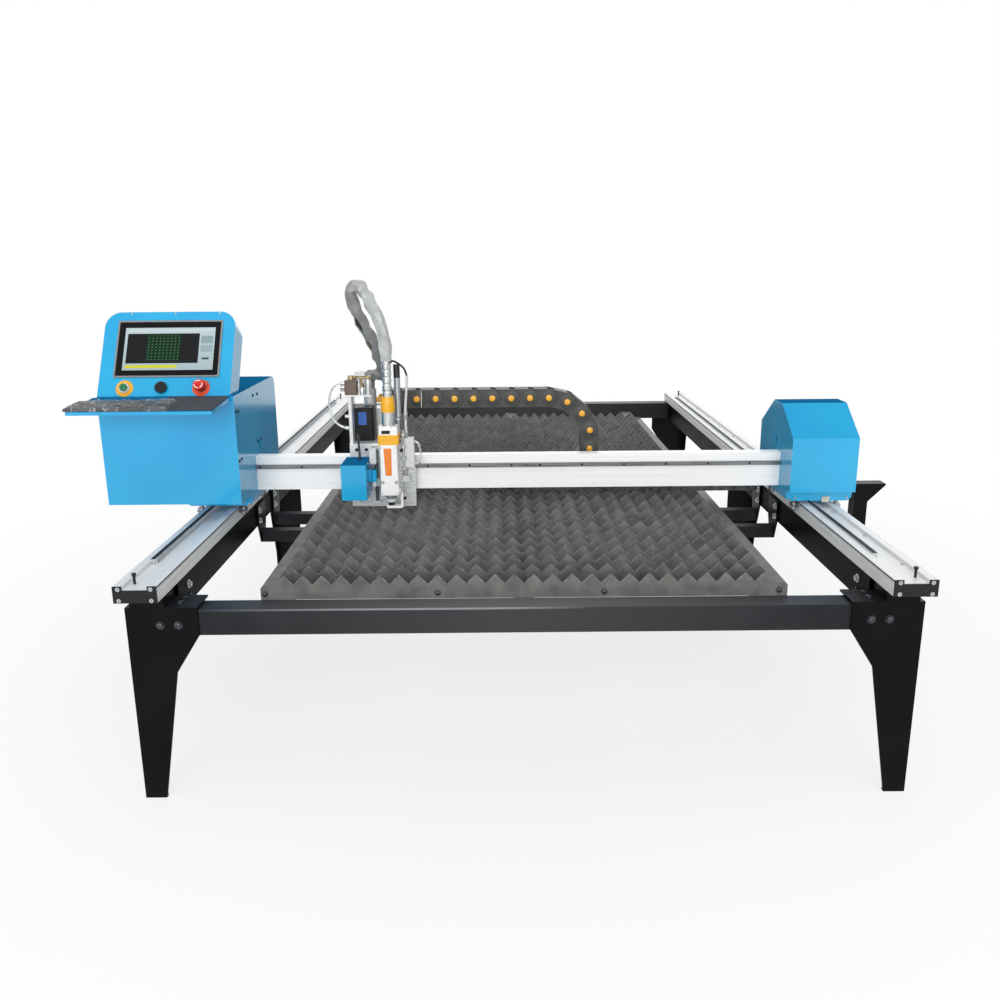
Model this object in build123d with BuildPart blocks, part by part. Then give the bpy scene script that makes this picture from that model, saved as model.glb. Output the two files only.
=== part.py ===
from build123d import *
from math import cos, radians, sin, sqrt, tan
import os

os.makedirs("parts", exist_ok=True)

# All lengths are millimetres. X runs along the gantry beam, Y along the rails towards the rear,
# Z is up, and the origin is on the floor under the middle of the table.

# Rails and table frame
RAIL_SPAN = 2240.0
RAIL_LENGTH = 3805.0
RAIL_WIDTH = 126.0
RAIL_HEIGHT = 50.0
RAIL_TOP = 725.0
RAIL_LIP = 26.0
CHANNEL_DEPTH = 12.0
RAIL_WALL = 8.0
GROOVE_DEPTH = 5.0
GROOVE_HALF = 3.5
GROOVE_DROP = 15.5
CAP_SHEET = 6.0
RACK_WIDTH = 14.0
RACK_HEIGHT = 18.0
RACK_MARGIN = 235.0
STOP_SET_BACK = 60.0
STOP_OUT = 20.0
STOP_HEIGHT = 33.0
BOLT_RADIUS = 4.0
BOLT_HEAD_RADIUS = 6.5
BOLT_HEAD = 8.0
SIDE_BEAM_WIDTH = 120.0
SIDE_BEAM_HEIGHT = 100.0
TUBE_WALL = 5.0
RAIL_OVERHANG = 75.0
REAR_OVERHANG = 30.0
CROSS_TUBE = 80.0
CROSS_DROP = 4.0
CROSS_END_GAP = 10.0
BED_TUBE = 48.0
BED_TUBE_WALL = 4.0
BED_TUBE_PLACES = (1115.0, 1370.0)
HANGER_WIDTH = 110.0
HANGER_SHEET = 8.0
HANGER_TOP_GAP = 15.0

# Legs
LEG_TOP = 632.0
LEG_SHEET = 6.0
LEG_HEAD_DEPTH = 110.0
LEG_SIDE_DEPTH = 150.0
LEG_FOOT = 66.0
LEG_GUSSET = 215.0
GUSSET_EDGE = 89.0
KNEE_IN = 138.0
KNEE_DROP = 209.0
MIDDLE_LEG_Y = 40.0
MIDDLE_LEG_WEB = 131.0
MIDDLE_LEG_FLARE = 130.0
FOOT_PLATE = 8.0
FOOT_RETURN = 14.0
PACKER_WIDTH = 100.0

# Bed of toothed slats
BED_WIDTH = 1606.0
SLAT_LENGTH = 1524.0
SLAT_HEIGHT = 74.0
SLAT_SHEET = 4.0
SLAT_PITCH = 97.0
SLAT_COUNT = 30
TOOTH_COUNT = 26
TOOTH_DEPTH = 29.0
BED_PLATE = 8.0
BED_CORNER = 8.0
BED_GAP = 2.0
BED_FLANGE = 38.0
FLANGE_SHEET = 6.0
LONGERON_WIDTH = 60.0
LONGERON_HEIGHT = 75.0

# Gantry carriages and their covers
GANTRY_Y = -865.0
BASE_LENGTH = 350.0
BASE_WIDTH = 238.0
BASE_PLATE = 8.0
BASE_LIFT = 50.0
SKIRT_SHEET = 4.0
SKIRT_DEPTH = 32.0
SKIRT_CORNER = 14.0
CHEEK_SHEET = 6.0
CHEEK_DROP = 35.0
CARRIAGE_IN = 1007.0
COVER_LENGTH = 420.0
COVER_FLAT = 100.0
COVER_EAVES = 203.0
COVER_HEIGHT = 310.0
COVER_SHEET = 3.0
CABLE_SLOT_WIDTH = 24.0
CABLE_SLOT_HEIGHT = 38.0
CABLE_SLOT_Z = 937.0
ROLLER_TREAD = 16.0
ROLLER_RIM = 3.5
ROLLER_WIDTH = 21.0
ROLLER_PLACE = 145.0
RUN_GAP = 0.3
AXLE_RADIUS = 5.0
AXLE_SHOULDER = 9.0
AXLE_NUT = 8.0
MOTOR_SIZE = 86.0
MOTOR_HEIGHT = 110.0
SHAFT_RADIUS = 6.0
SHAFT_GAP = 0.5
SHAFT_GRIP = 25.0
SHAFT_HOLE = 12.0
PINION_TEETH = 20
PINION_RADIUS = 22.0
PINION_TOOTH = 4.0
PINION_WIDTH = 14.0
PINION_GAP = 0.5
PINION_LIFT = 2.0
TOOTH_SHARES = (0.0, 0.3, 0.45, 0.85)

# Cable track arm on the right carriage
ARM_REACH = 275.0
ARM_DEPTH = 60.0
ARM_SHEET = 6.0
ARM_TAB = 50.0
ARM_DROP = 63.0
ARM_POST = 55.0
ARM_POST_OUT = 150.0
ARM_POST_LENGTH = 226.0
ARM_GUSSET = 76.0

# Control cabinet and console on the left carriage
CABINET_LEFT = -1480.0
CABINET_FRONT = 305.0
CABINET_REAR = 300.0
CABINET_HEIGHT = 390.0
CABINET_ROUND = 40.0
CABINET_SHEET = 3.0
MOTOR_OPENING = 100.0
UNIT_INSET = 30.0
UNIT_GAP = 24.0
UNIT_WIDTH = 120.0
UNIT_LENGTH = 170.0
UNIT_HEIGHTS = (200.0, 110.0)
CONTROLLER_WIDTH = 80.0
CONTROLLER_HEIGHT = 170.0
CONSOLE_LEAN = 30.5
CONSOLE_SET_BACK = 7.0
CONSOLE_SIDE_GAP = 7.0
CONSOLE_FACE = 326.0
CONSOLE_DEPTH = 95.0
CONSOLE_CHAMFER = 48.0
CONSOLE_ROUND = 58.0
CONSOLE_WALL = 5.0
PANEL_SHEET = 3.0
MONITOR_WIDTH = 374.0
MONITOR_HEIGHT = 220.0
MONITOR_FOOT = 71.0
MONITOR_BEZEL = 4.0
MONITOR_RIM = 9.0
MONITOR_DEPTH = 45.0
MONITOR_SHIFT = 3.0
FIT_GAP = 1.0
BUTTON_ROW = 30.0
START_X = -1386.0
KNOB_X = -1256.0
STOP_X = -1117.0
RING_RADIUS = 31.0
RING_SHEET = 2.0
START_RADIUS = 13.0
START_HEIGHT = 14.0
START_COLLAR = 18.0
COLLAR_HEIGHT = 7.0
KNOB_RADIUS = 21.0
KNOB_HEIGHT = 14.0
STOP_RADIUS = 21.0
STOP_STEM = 12.0
STOP_STEM_HEIGHT = 12.0
STOP_CAP = 16.0
PRESS_GAP = 0.4
BUTTON_STEM = 6.0
BUTTON_TAIL = 16.0
TRAY_LEFT = -1492.0
TRAY_WIDTH = 481.0
TRAY_DEPTH = 225.0
TRAY_TILT = 4.0
TRAY_Z = 1164.0
TRAY_SHEET = 3.0
TRAY_LIP = 11.0
TRAY_FLANGE = 28.0
KEYBOARD_WIDTH = 340.0
KEYBOARD_DEPTH = 126.0
KEYBOARD_THICK = 12.0
KEYBOARD_OVERHANG = 14.0
PAD_WIDTH = 205.0
PAD_DEPTH = 208.0
PAD_THICK = 3.0
PAD_MARGIN = 4.0
TRAY_MARGIN = 8.0

# Beam, its rails and the drag chain behind it
BEAM_DEPTH = 140.0
BEAM_HEIGHT = 131.0
BEAM_BOTTOM = 770.0
BEAM_WALL = 8.0
BEAM_LIP = 45.0
BEAM_STEP = 33.0
BEAM_LINES = (28.0, 12.0)
GUIDE_SIZE = 15.0
GUIDE_LENGTH = 2000.0
GUIDE_SUNK = 6.0
GUIDE_DROP = 41.0
TOP_GUIDE_PLACE = 65.0
BEAM_RACK_PLACE = 45.0
CHAIN_PITCH = 74.5
CHAIN_HEIGHT = 71.0
CHAIN_WIDTH = 76.0
CHAIN_WALL = 8.0
CHAIN_TURNS = 7
CHAIN_UPPER_LINKS = 9
CHAIN_LOWER_LINKS = 2
CHAIN_START_X = -545.0
CHAIN_BEHIND = 34.0
CHAIN_GAP = 0.6
NOTCH_ANGLE = 58.0
NOTCH_RUN = 6.0
TROUGH_FLOOR = 718.5
TROUGH_SHEET = 3.0
TROUGH_WALL = 84.0
TROUGH_RIGHT = 960.0
TROUGH_MARGIN = 40.0
TROUGH_PLAY = 8.0

# Head carriage
PLATE_LEFT = -634.0
PLATE_WIDTH = 244.0
PLATE_BOTTOM = 712.0
PLATE_HEIGHT = 243.0
PLATE_SHEET = 12.0
BLOCK_DEPTH = 29.0
BLOCK_LENGTH = 60.0
BLOCK_INSET = 10.0
BLOCK_SIDE = 17.0
BRACKET_SHEET = 10.0
BRACKET_WIDTH = 134.0
BRACKET_LIFT = 29.0
X_MOTOR_SIZE = 80.0
X_MOTOR_HEIGHT = 125.0
X_MOTOR_INSET = 36.0
SHELF_SHEET = 6.0
SHELF_LEFT = 14.0
SHELF_LENGTH = 130.0
CLAMP_RADIUS = 26.0
CLAMP_HEIGHT = 75.0
CLAMP_INSET = 35.0
VALVE_Z = 1136.0
VALVE_POST = 12.0
VALVE_SHELF = 100.0
VALVE_DEPTH = 50.0
VALVE_BLOCK = 46.0
VALVE_HEIGHT = 71.0
VALVE_PIPE = 7.0
HOUSING_LEFT = -647.0
HOUSING_WIDTH = 91.0
HOUSING_DEPTH = 151.0
HOUSING_BOTTOM = 773.0
HOUSING_HEIGHT = 131.0
SENSOR_RADIUS = 10.0
SENSOR_LENGTH = 44.0
SENSOR_DROP = 32.0
SENSOR_FRONT = 72.0
SCREW_X = -534.0
SCREW_OFF = 28.0
SCREW_LUG = 28.0
LUG_SHEET = 10.0
Z_GUIDE_WIDTH = 12.0
Z_GUIDE_DEPTH = 10.0

# Cutting head on the Z slide
HEAD_X = -478.0
HEAD_PLATE_WIDTH = 84.0
HEAD_PLATE_DEPTH = 29.0
HEAD_PLATE_BOTTOM = 770.0
HEAD_PLATE_HEIGHT = 190.0
SLIDE_GAP = 0.5
NUT_DROP = 160.0
NUT_HEIGHT = 30.0
HEAD_WIDTH = 64.0
HEAD_DEPTH = 61.0
HEAD_BOTTOM = 776.0
HEAD_HEIGHT = 191.0
HEAD_ROUND = 6.0
BAND_HEIGHT = 36.0
BAND_PROUD = 6.0
TOP_BLOCK_HEIGHT = 31.0
BARREL_RADIUS = 24.5
BARREL_HEIGHT = 51.0
COLLAR_RADIUS = 26.0
COLLAR_TOP_RADIUS = 22.0
HEAD_COLLAR_HEIGHT = 56.0
RELIEF_RADIUS = 17.0
RELIEF_HEIGHT = 127.0
RELIEF_RIB = 2.0
RELIEF_RIBS = 5
RIB_SHARES = (0.0, 0.6, 0.7, 0.9)
CONE_RADIUS = 29.0
CONE_HEIGHT = 30.0
NOZZLE_RADIUS = 19.0
NOZZLE_TIP = 6.0
NOZZLE_HEIGHT = 28.0
FITTING_WIDTH = 46.0
FITTING_DEPTH = 36.0
FITTING_BOTTOM = 870.0
FITTING_HEIGHT = 110.0
RISER_RADIUS = 6.0
RISER_HEIGHT = 100.0
FILTER_SIDE = 32.0
FILTER_RADIUS = 12.0
FILTER_HEIGHT = 193.0

# Cables at the head: outer diameters, and routes chosen by hand as places from the head's axis
SLEEVE_DIAMETER = 40.0
TUBE_DIAMETER = 8.0
LEAD_DIAMETER = 9.0
ROUTE_SHARE = 0.45

# Places worked out from the sizes above
rail_x = RAIL_SPAN / 2
rail_half = RAIL_WIDTH / 2
rail_bottom = RAIL_TOP - RAIL_HEIGHT
rail_floor = RAIL_TOP - CHANNEL_DEPTH
channel_half = rail_half - RAIL_LIP
rail_end = RAIL_LENGTH / 2
side_in = rail_x - SIDE_BEAM_WIDTH / 2
side_out = rail_x + SIDE_BEAM_WIDTH / 2
side_bottom = rail_bottom - SIDE_BEAM_HEIGHT
leg_out = side_out + LEG_SHEET
leg_front = -rail_end + RAIL_OVERHANG
side_front = leg_front + LEG_HEAD_DEPTH
side_back = rail_end - REAR_OVERHANG
cross_top = LEG_TOP - LEG_SHEET - CROSS_DROP
cross_back = leg_front + LEG_SHEET + CROSS_TUBE
bed_tube_top = cross_top - LONGERON_HEIGHT
bed_front = cross_back + BED_GAP
slat_top = cross_top + SLAT_HEIGHT
slat_half = SLAT_LENGTH / 2
base_bottom = RAIL_TOP + BASE_LIFT - BASE_PLATE
base_top = RAIL_TOP + BASE_LIFT
carriage_out = CARRIAGE_IN + BASE_WIDTH
roller_off = rail_half + ROLLER_TREAD + RUN_GAP
groove_z = RAIL_TOP - GROOVE_DROP
rack_in = channel_half - RACK_WIDTH
pinion_off = PINION_RADIUS + PINION_GAP - rack_in
pinion_z = rail_floor + PINION_LIFT
beam_front = GANTRY_Y - BEAM_DEPTH / 2
beam_back = GANTRY_Y + BEAM_DEPTH / 2
beam_top = BEAM_BOTTOM + BEAM_HEIGHT
beam_deck = beam_top - BEAM_STEP
guide_z = beam_top - GUIDE_DROP
beam_half = CARRIAGE_IN - CHEEK_SHEET
cabinet_top = base_top + CABINET_HEIGHT
cabinet_front = GANTRY_Y - CABINET_FRONT
cabinet_rear = GANTRY_Y + CABINET_REAR
plate_back = beam_front - BLOCK_DEPTH - FIT_GAP
plate_front = plate_back - PLATE_SHEET
plate_top = PLATE_BOTTOM + PLATE_HEIGHT
bracket_z = beam_top + BRACKET_LIFT
bracket_top = bracket_z + BRACKET_SHEET
chain_y = beam_back + CHAIN_BEHIND + CHAIN_WIDTH / 2
chain_drop = CHAIN_PITCH / sin(radians(90 / CHAIN_TURNS))
chain_low = TROUGH_FLOOR + CHAIN_GAP + CHAIN_HEIGHT / 2
chain_high = chain_low + chain_drop
chain_bend_x = CHAIN_START_X + CHAIN_UPPER_LINKS * CHAIN_PITCH
beam_rack_y = GANTRY_Y + BEAM_DEPTH / 2 - BEAM_RACK_PLACE
x_motor_x = PLATE_LEFT + X_MOTOR_INSET
x_pinion_y = beam_rack_y + RACK_WIDTH + PINION_RADIUS + PINION_GAP
slide_front = plate_front - FIT_GAP
head_back = slide_front - HEAD_PLATE_DEPTH
head_y = head_back - HEAD_DEPTH / 2
head_top = HEAD_BOTTOM + HEAD_HEIGHT
band_top = head_top + BAND_HEIGHT
block_top = band_top + TOP_BLOCK_HEIGHT
barrel_top = block_top + BARREL_HEIGHT
collar_top = barrel_top + HEAD_COLLAR_HEIGHT
relief_top = collar_top + RELIEF_HEIGHT
screw_y = plate_front - SCREW_OFF


def front_plane(y):
    """A plane that faces the front of the machine at depth y: X to the right and Z up."""
    return Plane((0, y, 0), x_dir=(1, 0, 0), z_dir=(0, -1, 0))


def block(low, high, mode=Mode.ADD):
    """A box between its lowest and highest corners."""
    size = Vector(*high) - Vector(*low)
    with Locations((Vector(*low) + Vector(*high)) / 2):
        Box(size.X, size.Y, size.Z, mode=mode)


def plate(plane, points, amount, mode=Mode.ADD):
    """A closed outline on a plane, extruded along the plane's normal."""
    with BuildSketch(plane) as outline:
        with BuildLine():
            Polyline(*points, close=True)
        make_face()
    extrude(outline.sketch, amount=amount, mode=mode)


def tube(plane, width, height, wall, length):
    """A rectangular tube around the plane's origin, extruded along its normal."""
    with BuildSketch(plane) as section:
        Rectangle(width, height)
        Rectangle(width - 2 * wall, height - 2 * wall, mode=Mode.SUBTRACT)
    extrude(section.sketch, amount=length)


def rod(centre, radius, height, mode=Mode.ADD):
    """An upright cylinder that stands on its centre point."""
    with Locations(Vector(*centre) + Vector(0, 0, height / 2)):
        Cylinder(radius, height, mode=mode)


def turned(centre, profile):
    """A body of revolution about the upright axis through centre; the profile is radius, height."""
    x, y, z = centre
    with BuildSketch(Plane((x, y, z), x_dir=(1, 0, 0), z_dir=(0, -1, 0))) as half:
        with BuildLine():
            Polyline(*profile, close=True)
        make_face()
    revolve(half.sketch, axis=Axis((x, y, z), (0, 0, 1)))


def hand_in(builder, label):
    """Names the finished piece and writes it."""
    builder.part.label = label
    export_step(builder.part, f"parts/{label}.step")


# Front legs: a folded plate with an inward gusset, a side flange, a head plate and a turned-in foot
with BuildPart() as front_legs:
    for side in (-1, 1):
        face_points = [
            (side * leg_out, 0),
            (side * leg_out, LEG_TOP),
            (side * (leg_out - LEG_GUSSET), LEG_TOP),
            (side * (leg_out - LEG_GUSSET), LEG_TOP - GUSSET_EDGE),
            (side * (leg_out - KNEE_IN), LEG_TOP - KNEE_DROP),
            (side * (leg_out - LEG_FOOT), 0),
        ]
        plate(front_plane(leg_front), face_points, -LEG_SHEET)
        flange_points = [
            (leg_front, 0),
            (leg_front, LEG_TOP),
            (leg_front + LEG_SIDE_DEPTH, LEG_TOP),
            (leg_front + LEG_SIDE_DEPTH, LEG_TOP - GUSSET_EDGE),
            (leg_front + LEG_FOOT, LEG_TOP - 2 * KNEE_DROP),
            (leg_front + LEG_FOOT, 0),
        ]
        plate(Plane.YZ.offset(side * leg_out), flange_points, -side * LEG_SHEET)
        inner, outer = sorted((side * (leg_out - LEG_GUSSET), side * leg_out))
        block((inner, leg_front, LEG_TOP - LEG_SHEET), (outer, side_front, LEG_TOP))
        inner, outer = sorted((side * (leg_out - LEG_FOOT), side * leg_out))
        block((inner, leg_front, 0), (outer, leg_front + FOOT_RETURN, FOOT_PLATE))
hand_in(front_legs, "front_legs")

# Middle legs: a flared side plate on the outside of the side beam with one web across it
with BuildPart() as middle_legs:
    for side in (-1, 1):
        half_foot = LEG_FOOT / 2
        flare = [
            (MIDDLE_LEG_Y - half_foot, 0),
            (MIDDLE_LEG_Y - half_foot, LEG_TOP - 2 * KNEE_DROP),
            (MIDDLE_LEG_Y - MIDDLE_LEG_FLARE, LEG_TOP - GUSSET_EDGE),
            (MIDDLE_LEG_Y - MIDDLE_LEG_FLARE, LEG_TOP),
            (MIDDLE_LEG_Y + MIDDLE_LEG_FLARE, LEG_TOP),
            (MIDDLE_LEG_Y + MIDDLE_LEG_FLARE, LEG_TOP - GUSSET_EDGE),
            (MIDDLE_LEG_Y + half_foot, LEG_TOP - 2 * KNEE_DROP),
            (MIDDLE_LEG_Y + half_foot, 0),
        ]
        plate(Plane.YZ.offset(side * leg_out), flare, -side * LEG_SHEET)
        web = [
            (side * side_out, 0),
            (side * side_out, side_bottom),
            (side * (leg_out - MIDDLE_LEG_WEB), side_bottom),
            (side * (leg_out - MIDDLE_LEG_WEB), LEG_TOP - KNEE_DROP),
            (side * (leg_out - LEG_FOOT), 0),
        ]
        plate(front_plane(MIDDLE_LEG_Y - LEG_SHEET / 2), web, -LEG_SHEET)
        inner, outer = sorted((side * (leg_out - LEG_FOOT), side * leg_out))
        block((inner, MIDDLE_LEG_Y - half_foot, 0), (outer, MIDDLE_LEG_Y + half_foot, FOOT_PLATE))
hand_in(middle_legs, "middle_legs")

# Rear legs: the front leg's form turned round, under the end of the side beam
with BuildPart() as rear_legs:
    for side in (-1, 1):
        face_points = [
            (side * side_out, 0),
            (side * side_out, side_bottom),
            (side * (leg_out - LEG_GUSSET), side_bottom),
            (side * (leg_out - LEG_GUSSET), side_bottom - GUSSET_EDGE),
            (side * (leg_out - KNEE_IN), side_bottom - KNEE_DROP),
            (side * (leg_out - LEG_FOOT), 0),
        ]
        plate(front_plane(side_back - LEG_SHEET), face_points, -LEG_SHEET)
        flange_points = [
            (side_back, 0),
            (side_back, LEG_TOP),
            (side_back - LEG_SIDE_DEPTH, LEG_TOP),
            (side_back - LEG_SIDE_DEPTH, LEG_TOP - GUSSET_EDGE),
            (side_back - LEG_FOOT, LEG_TOP - 2 * KNEE_DROP),
            (side_back - LEG_FOOT, 0),
        ]
        plate(Plane.YZ.offset(side * leg_out), flange_points, -side * LEG_SHEET)
        inner, outer = sorted((side * (leg_out - LEG_FOOT), side * leg_out))
        block((inner, side_back - LEG_FOOT, 0), (outer, side_back, FOOT_PLATE))
hand_in(rear_legs, "rear_legs")

# Cross beams: the front one behind the legs, two low ones under the bed, the rear one between the side beams
with BuildPart() as cross_beams:
    cross_half = side_out - CROSS_END_GAP
    front_axis = Plane(
        (-cross_half, leg_front + LEG_SHEET + CROSS_TUBE / 2, cross_top - CROSS_TUBE / 2),
        x_dir=(0, 1, 0),
        z_dir=(1, 0, 0),
    )
    tube(front_axis, CROSS_TUBE, CROSS_TUBE, TUBE_WALL, 2 * cross_half)
    rear_axis = Plane(
        (-side_in, side_back - SIDE_BEAM_HEIGHT / 2, side_bottom + SIDE_BEAM_HEIGHT / 2),
        x_dir=(0, 1, 0),
        z_dir=(1, 0, 0),
    )
    tube(rear_axis, SIDE_BEAM_HEIGHT, SIDE_BEAM_HEIGHT, TUBE_WALL, 2 * side_in)
    bed_tube_half = side_in - HANGER_SHEET
    for place in BED_TUBE_PLACES:
        bed_axis = Plane(
            (-bed_tube_half, leg_front + place, bed_tube_top - BED_TUBE / 2),
            x_dir=(0, 1, 0),
            z_dir=(1, 0, 0),
        )
        tube(bed_axis, BED_TUBE, BED_TUBE, BED_TUBE_WALL, 2 * bed_tube_half)
hand_in(cross_beams, "cross_beams")

# Frame brackets: hanger plates for the low beams, and packers that lift the rail ends off the legs
with BuildPart() as frame_brackets:
    for side in (-1, 1):
        for place in BED_TUBE_PLACES:
            hang_y = leg_front + place
            hang_half = HANGER_WIDTH / 2
            hanger = [
                (hang_y - hang_half, rail_bottom - HANGER_TOP_GAP),
                (hang_y + hang_half, rail_bottom - HANGER_TOP_GAP),
                (hang_y + hang_half, side_bottom),
                (hang_y + BED_TUBE / 2, bed_tube_top - BED_TUBE),
                (hang_y - BED_TUBE / 2, bed_tube_top - BED_TUBE),
                (hang_y - hang_half, side_bottom),
            ]
            plate(Plane.YZ.offset(side * side_in), hanger, -side * HANGER_SHEET)
        low_x = side * rail_x - PACKER_WIDTH / 2
        high_x = side * rail_x + PACKER_WIDTH / 2
        block((low_x, leg_front, LEG_TOP), (high_x, side_front, rail_bottom))
hand_in(frame_brackets, "frame_brackets")

# Side beams: rectangular tubes that carry the rails
with BuildPart() as side_beams:
    for side in (-1, 1):
        side_axis = Plane(
            (side * rail_x, side_back, side_bottom + SIDE_BEAM_HEIGHT / 2),
            x_dir=(1, 0, 0),
            z_dir=(0, -1, 0),
        )
        tube(side_axis, SIDE_BEAM_WIDTH, SIDE_BEAM_HEIGHT, TUBE_WALL, side_back - side_front)
hand_in(side_beams, "side_beams")

# Rails: aluminium channel with a guide groove along each flank and a hollow core
with BuildPart() as rails:
    for side in (-1, 1):
        half_points = [
            (rail_half, rail_bottom),
            (rail_half, groove_z - GROOVE_HALF),
            (rail_half - GROOVE_DEPTH, groove_z),
            (rail_half, groove_z + GROOVE_HALF),
            (rail_half, RAIL_TOP),
            (channel_half, RAIL_TOP),
            (channel_half, rail_floor),
        ]
        outline_points = half_points + [(-x, z) for x, z in reversed(half_points)]
        section_plane = Plane(
            (side * rail_x, rail_end - CAP_SHEET, 0), x_dir=(1, 0, 0), z_dir=(0, -1, 0)
        )
        plate(section_plane, outline_points, RAIL_LENGTH - 2 * CAP_SHEET)
        core_half = channel_half + RAIL_WALL
        core = [
            (-core_half, rail_bottom + RAIL_WALL),
            (core_half, rail_bottom + RAIL_WALL),
            (core_half, rail_floor - RAIL_WALL),
            (-core_half, rail_floor - RAIL_WALL),
        ]
        plate(section_plane, core, RAIL_LENGTH - 2 * CAP_SHEET, mode=Mode.SUBTRACT)
hand_in(rails, "rails")

# Rail end caps with the travel stop bolts that stand in the channel behind them
with BuildPart() as rail_end_caps:
    for side in (-1, 1):
        cap_half = [
            (rail_half, rail_bottom),
            (rail_half, RAIL_TOP),
            (channel_half, RAIL_TOP),
            (channel_half, rail_floor),
        ]
        cap_points = cap_half + [(-x, z) for x, z in reversed(cap_half)]
        for end_y in (-rail_end + CAP_SHEET, rail_end):
            cap_plane = Plane((side * rail_x, end_y, 0), x_dir=(1, 0, 0), z_dir=(0, -1, 0))
            plate(cap_plane, cap_points, CAP_SHEET)
        for end_y in (-rail_end + STOP_SET_BACK, rail_end - STOP_SET_BACK):
            stop_x = side * (rail_x + STOP_OUT)
            shank = STOP_HEIGHT - BOLT_HEAD
            rod((stop_x, end_y, rail_floor), BOLT_RADIUS, shank)
            rod((stop_x, end_y, rail_floor + shank), BOLT_HEAD_RADIUS, BOLT_HEAD)
hand_in(rail_end_caps, "rail_end_caps")

# Racks along the left wall of each channel, up to the root line of their teeth
with BuildPart() as racks:
    for side in (-1, 1):
        rack_x = side * rail_x - channel_half
        rack_half = rail_end - RACK_MARGIN
        block(
            (rack_x, -rack_half, rail_floor),
            (rack_x + RACK_WIDTH, rack_half, rail_floor + RACK_HEIGHT),
        )
hand_in(racks, "racks")

# Bed frame: longerons on the cross beams, the outer two with a flanged plate along their outer edge
tooth_pitch = SLAT_LENGTH / TOOTH_COUNT
bed_length = (SLAT_COUNT + 1) * SLAT_PITCH
bed_half = BED_WIDTH / 2
shoulder_z = slat_top - TOOTH_DEPTH - BED_GAP


def tooth_line(left_x):
    """The toothed upper edge of a slat from left to right: valley, tip, valley and so on."""
    points = []
    for tooth in range(TOOTH_COUNT):
        points.append((left_x + tooth * tooth_pitch, slat_top - TOOTH_DEPTH))
        points.append((left_x + (tooth + 0.5) * tooth_pitch, slat_top))
    points.append((left_x + TOOTH_COUNT * tooth_pitch, slat_top - TOOTH_DEPTH))
    return points


with BuildPart() as bed_frame:
    longeron_out = bed_half - LONGERON_WIDTH / 2
    for centre_x in (-longeron_out, 0, longeron_out):
        long_axis = Plane(
            (centre_x, cross_back, cross_top - LONGERON_HEIGHT / 2),
            x_dir=(-1, 0, 0),
            z_dir=(0, 1, 0),
        )
        long_end = side_back - SIDE_BEAM_HEIGHT
        tube(long_axis, LONGERON_WIDTH, LONGERON_HEIGHT, BED_TUBE_WALL, long_end - cross_back)
    for side in (-1, 1):
        edge_z = shoulder_z - BED_CORNER
        angle = [
            (side * bed_half, cross_top),
            (side * bed_half, edge_z),
            (side * (bed_half - BED_FLANGE), edge_z),
            (side * (bed_half - BED_FLANGE), edge_z - FLANGE_SHEET),
            (side * (bed_half - FLANGE_SHEET), edge_z - FLANGE_SHEET),
            (side * (bed_half - FLANGE_SHEET), cross_top),
        ]
        plate(front_plane(bed_front + BED_PLATE), angle, BED_PLATE - bed_length)
hand_in(bed_frame, "bed_frame")

# Slats: upright steel strips with a toothed upper edge, between two wider toothed end plates
with BuildPart() as bed_slats:
    for end_y in (bed_front, bed_front + bed_length):
        end_points = [
            (-bed_half, cross_top),
            (-bed_half, shoulder_z - BED_CORNER),
            (-bed_half + BED_CORNER, shoulder_z),
            (-slat_half - BED_GAP, shoulder_z),
            *tooth_line(-slat_half),
            (slat_half + BED_GAP, shoulder_z),
            (bed_half - BED_CORNER, shoulder_z),
            (bed_half, shoulder_z - BED_CORNER),
            (bed_half, cross_top),
        ]
        plate(front_plane(end_y), end_points, -BED_PLATE)
    for row in range(1, SLAT_COUNT + 1):
        slat_points = [(-slat_half, cross_top), *tooth_line(-slat_half), (slat_half, cross_top)]
        slat_y = bed_front + (BED_PLATE - SLAT_SHEET) / 2 + row * SLAT_PITCH
        plate(front_plane(slat_y), slat_points, -SLAT_SHEET)
hand_in(bed_slats, "bed_slats")

# Beam: a hollow extrusion with a sunk guide seat and two fine lines on its front, and a lower deck behind
with BuildPart() as gantry_beam:
    seat_half = GUIDE_SIZE / 2 + SLIDE_GAP
    fine = GUIDE_SUNK / 3
    beam_points = [
        (beam_front, BEAM_BOTTOM),
        (beam_back, BEAM_BOTTOM),
        (beam_back, beam_deck),
        (beam_front + BEAM_LIP, beam_deck),
        (beam_front + BEAM_LIP, beam_top),
        (beam_front, beam_top),
        (beam_front, guide_z + seat_half),
        (beam_front + GUIDE_SUNK, guide_z + seat_half),
        (beam_front + GUIDE_SUNK, guide_z - seat_half),
        (beam_front, guide_z - seat_half),
    ]
    for line_z in [BEAM_BOTTOM + height for height in BEAM_LINES]:
        beam_points += [
            (beam_front, line_z + fine),
            (beam_front + fine, line_z + fine),
            (beam_front + fine, line_z),
            (beam_front, line_z),
        ]
    plate(Plane.YZ.offset(-beam_half), beam_points, 2 * beam_half)
    hollow_front = beam_front + GUIDE_SUNK + BEAM_WALL
    middle_z = (BEAM_BOTTOM + beam_deck) / 2
    hollow_back = beam_back - BEAM_WALL
    lip_back = beam_front + BEAM_LIP - BEAM_WALL
    deck_under = beam_deck - BEAM_WALL
    for low_z, high_z, back_y in (
        (BEAM_BOTTOM + BEAM_WALL, middle_z - BEAM_WALL / 2, hollow_back),
        (middle_z + BEAM_WALL / 2, deck_under, hollow_back),
        (deck_under, beam_top - BEAM_WALL, lip_back),
    ):
        block(
            (-beam_half, hollow_front, low_z),
            (beam_half, back_y, high_z),
            mode=Mode.SUBTRACT,
        )
hand_in(gantry_beam, "gantry_beam")

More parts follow.
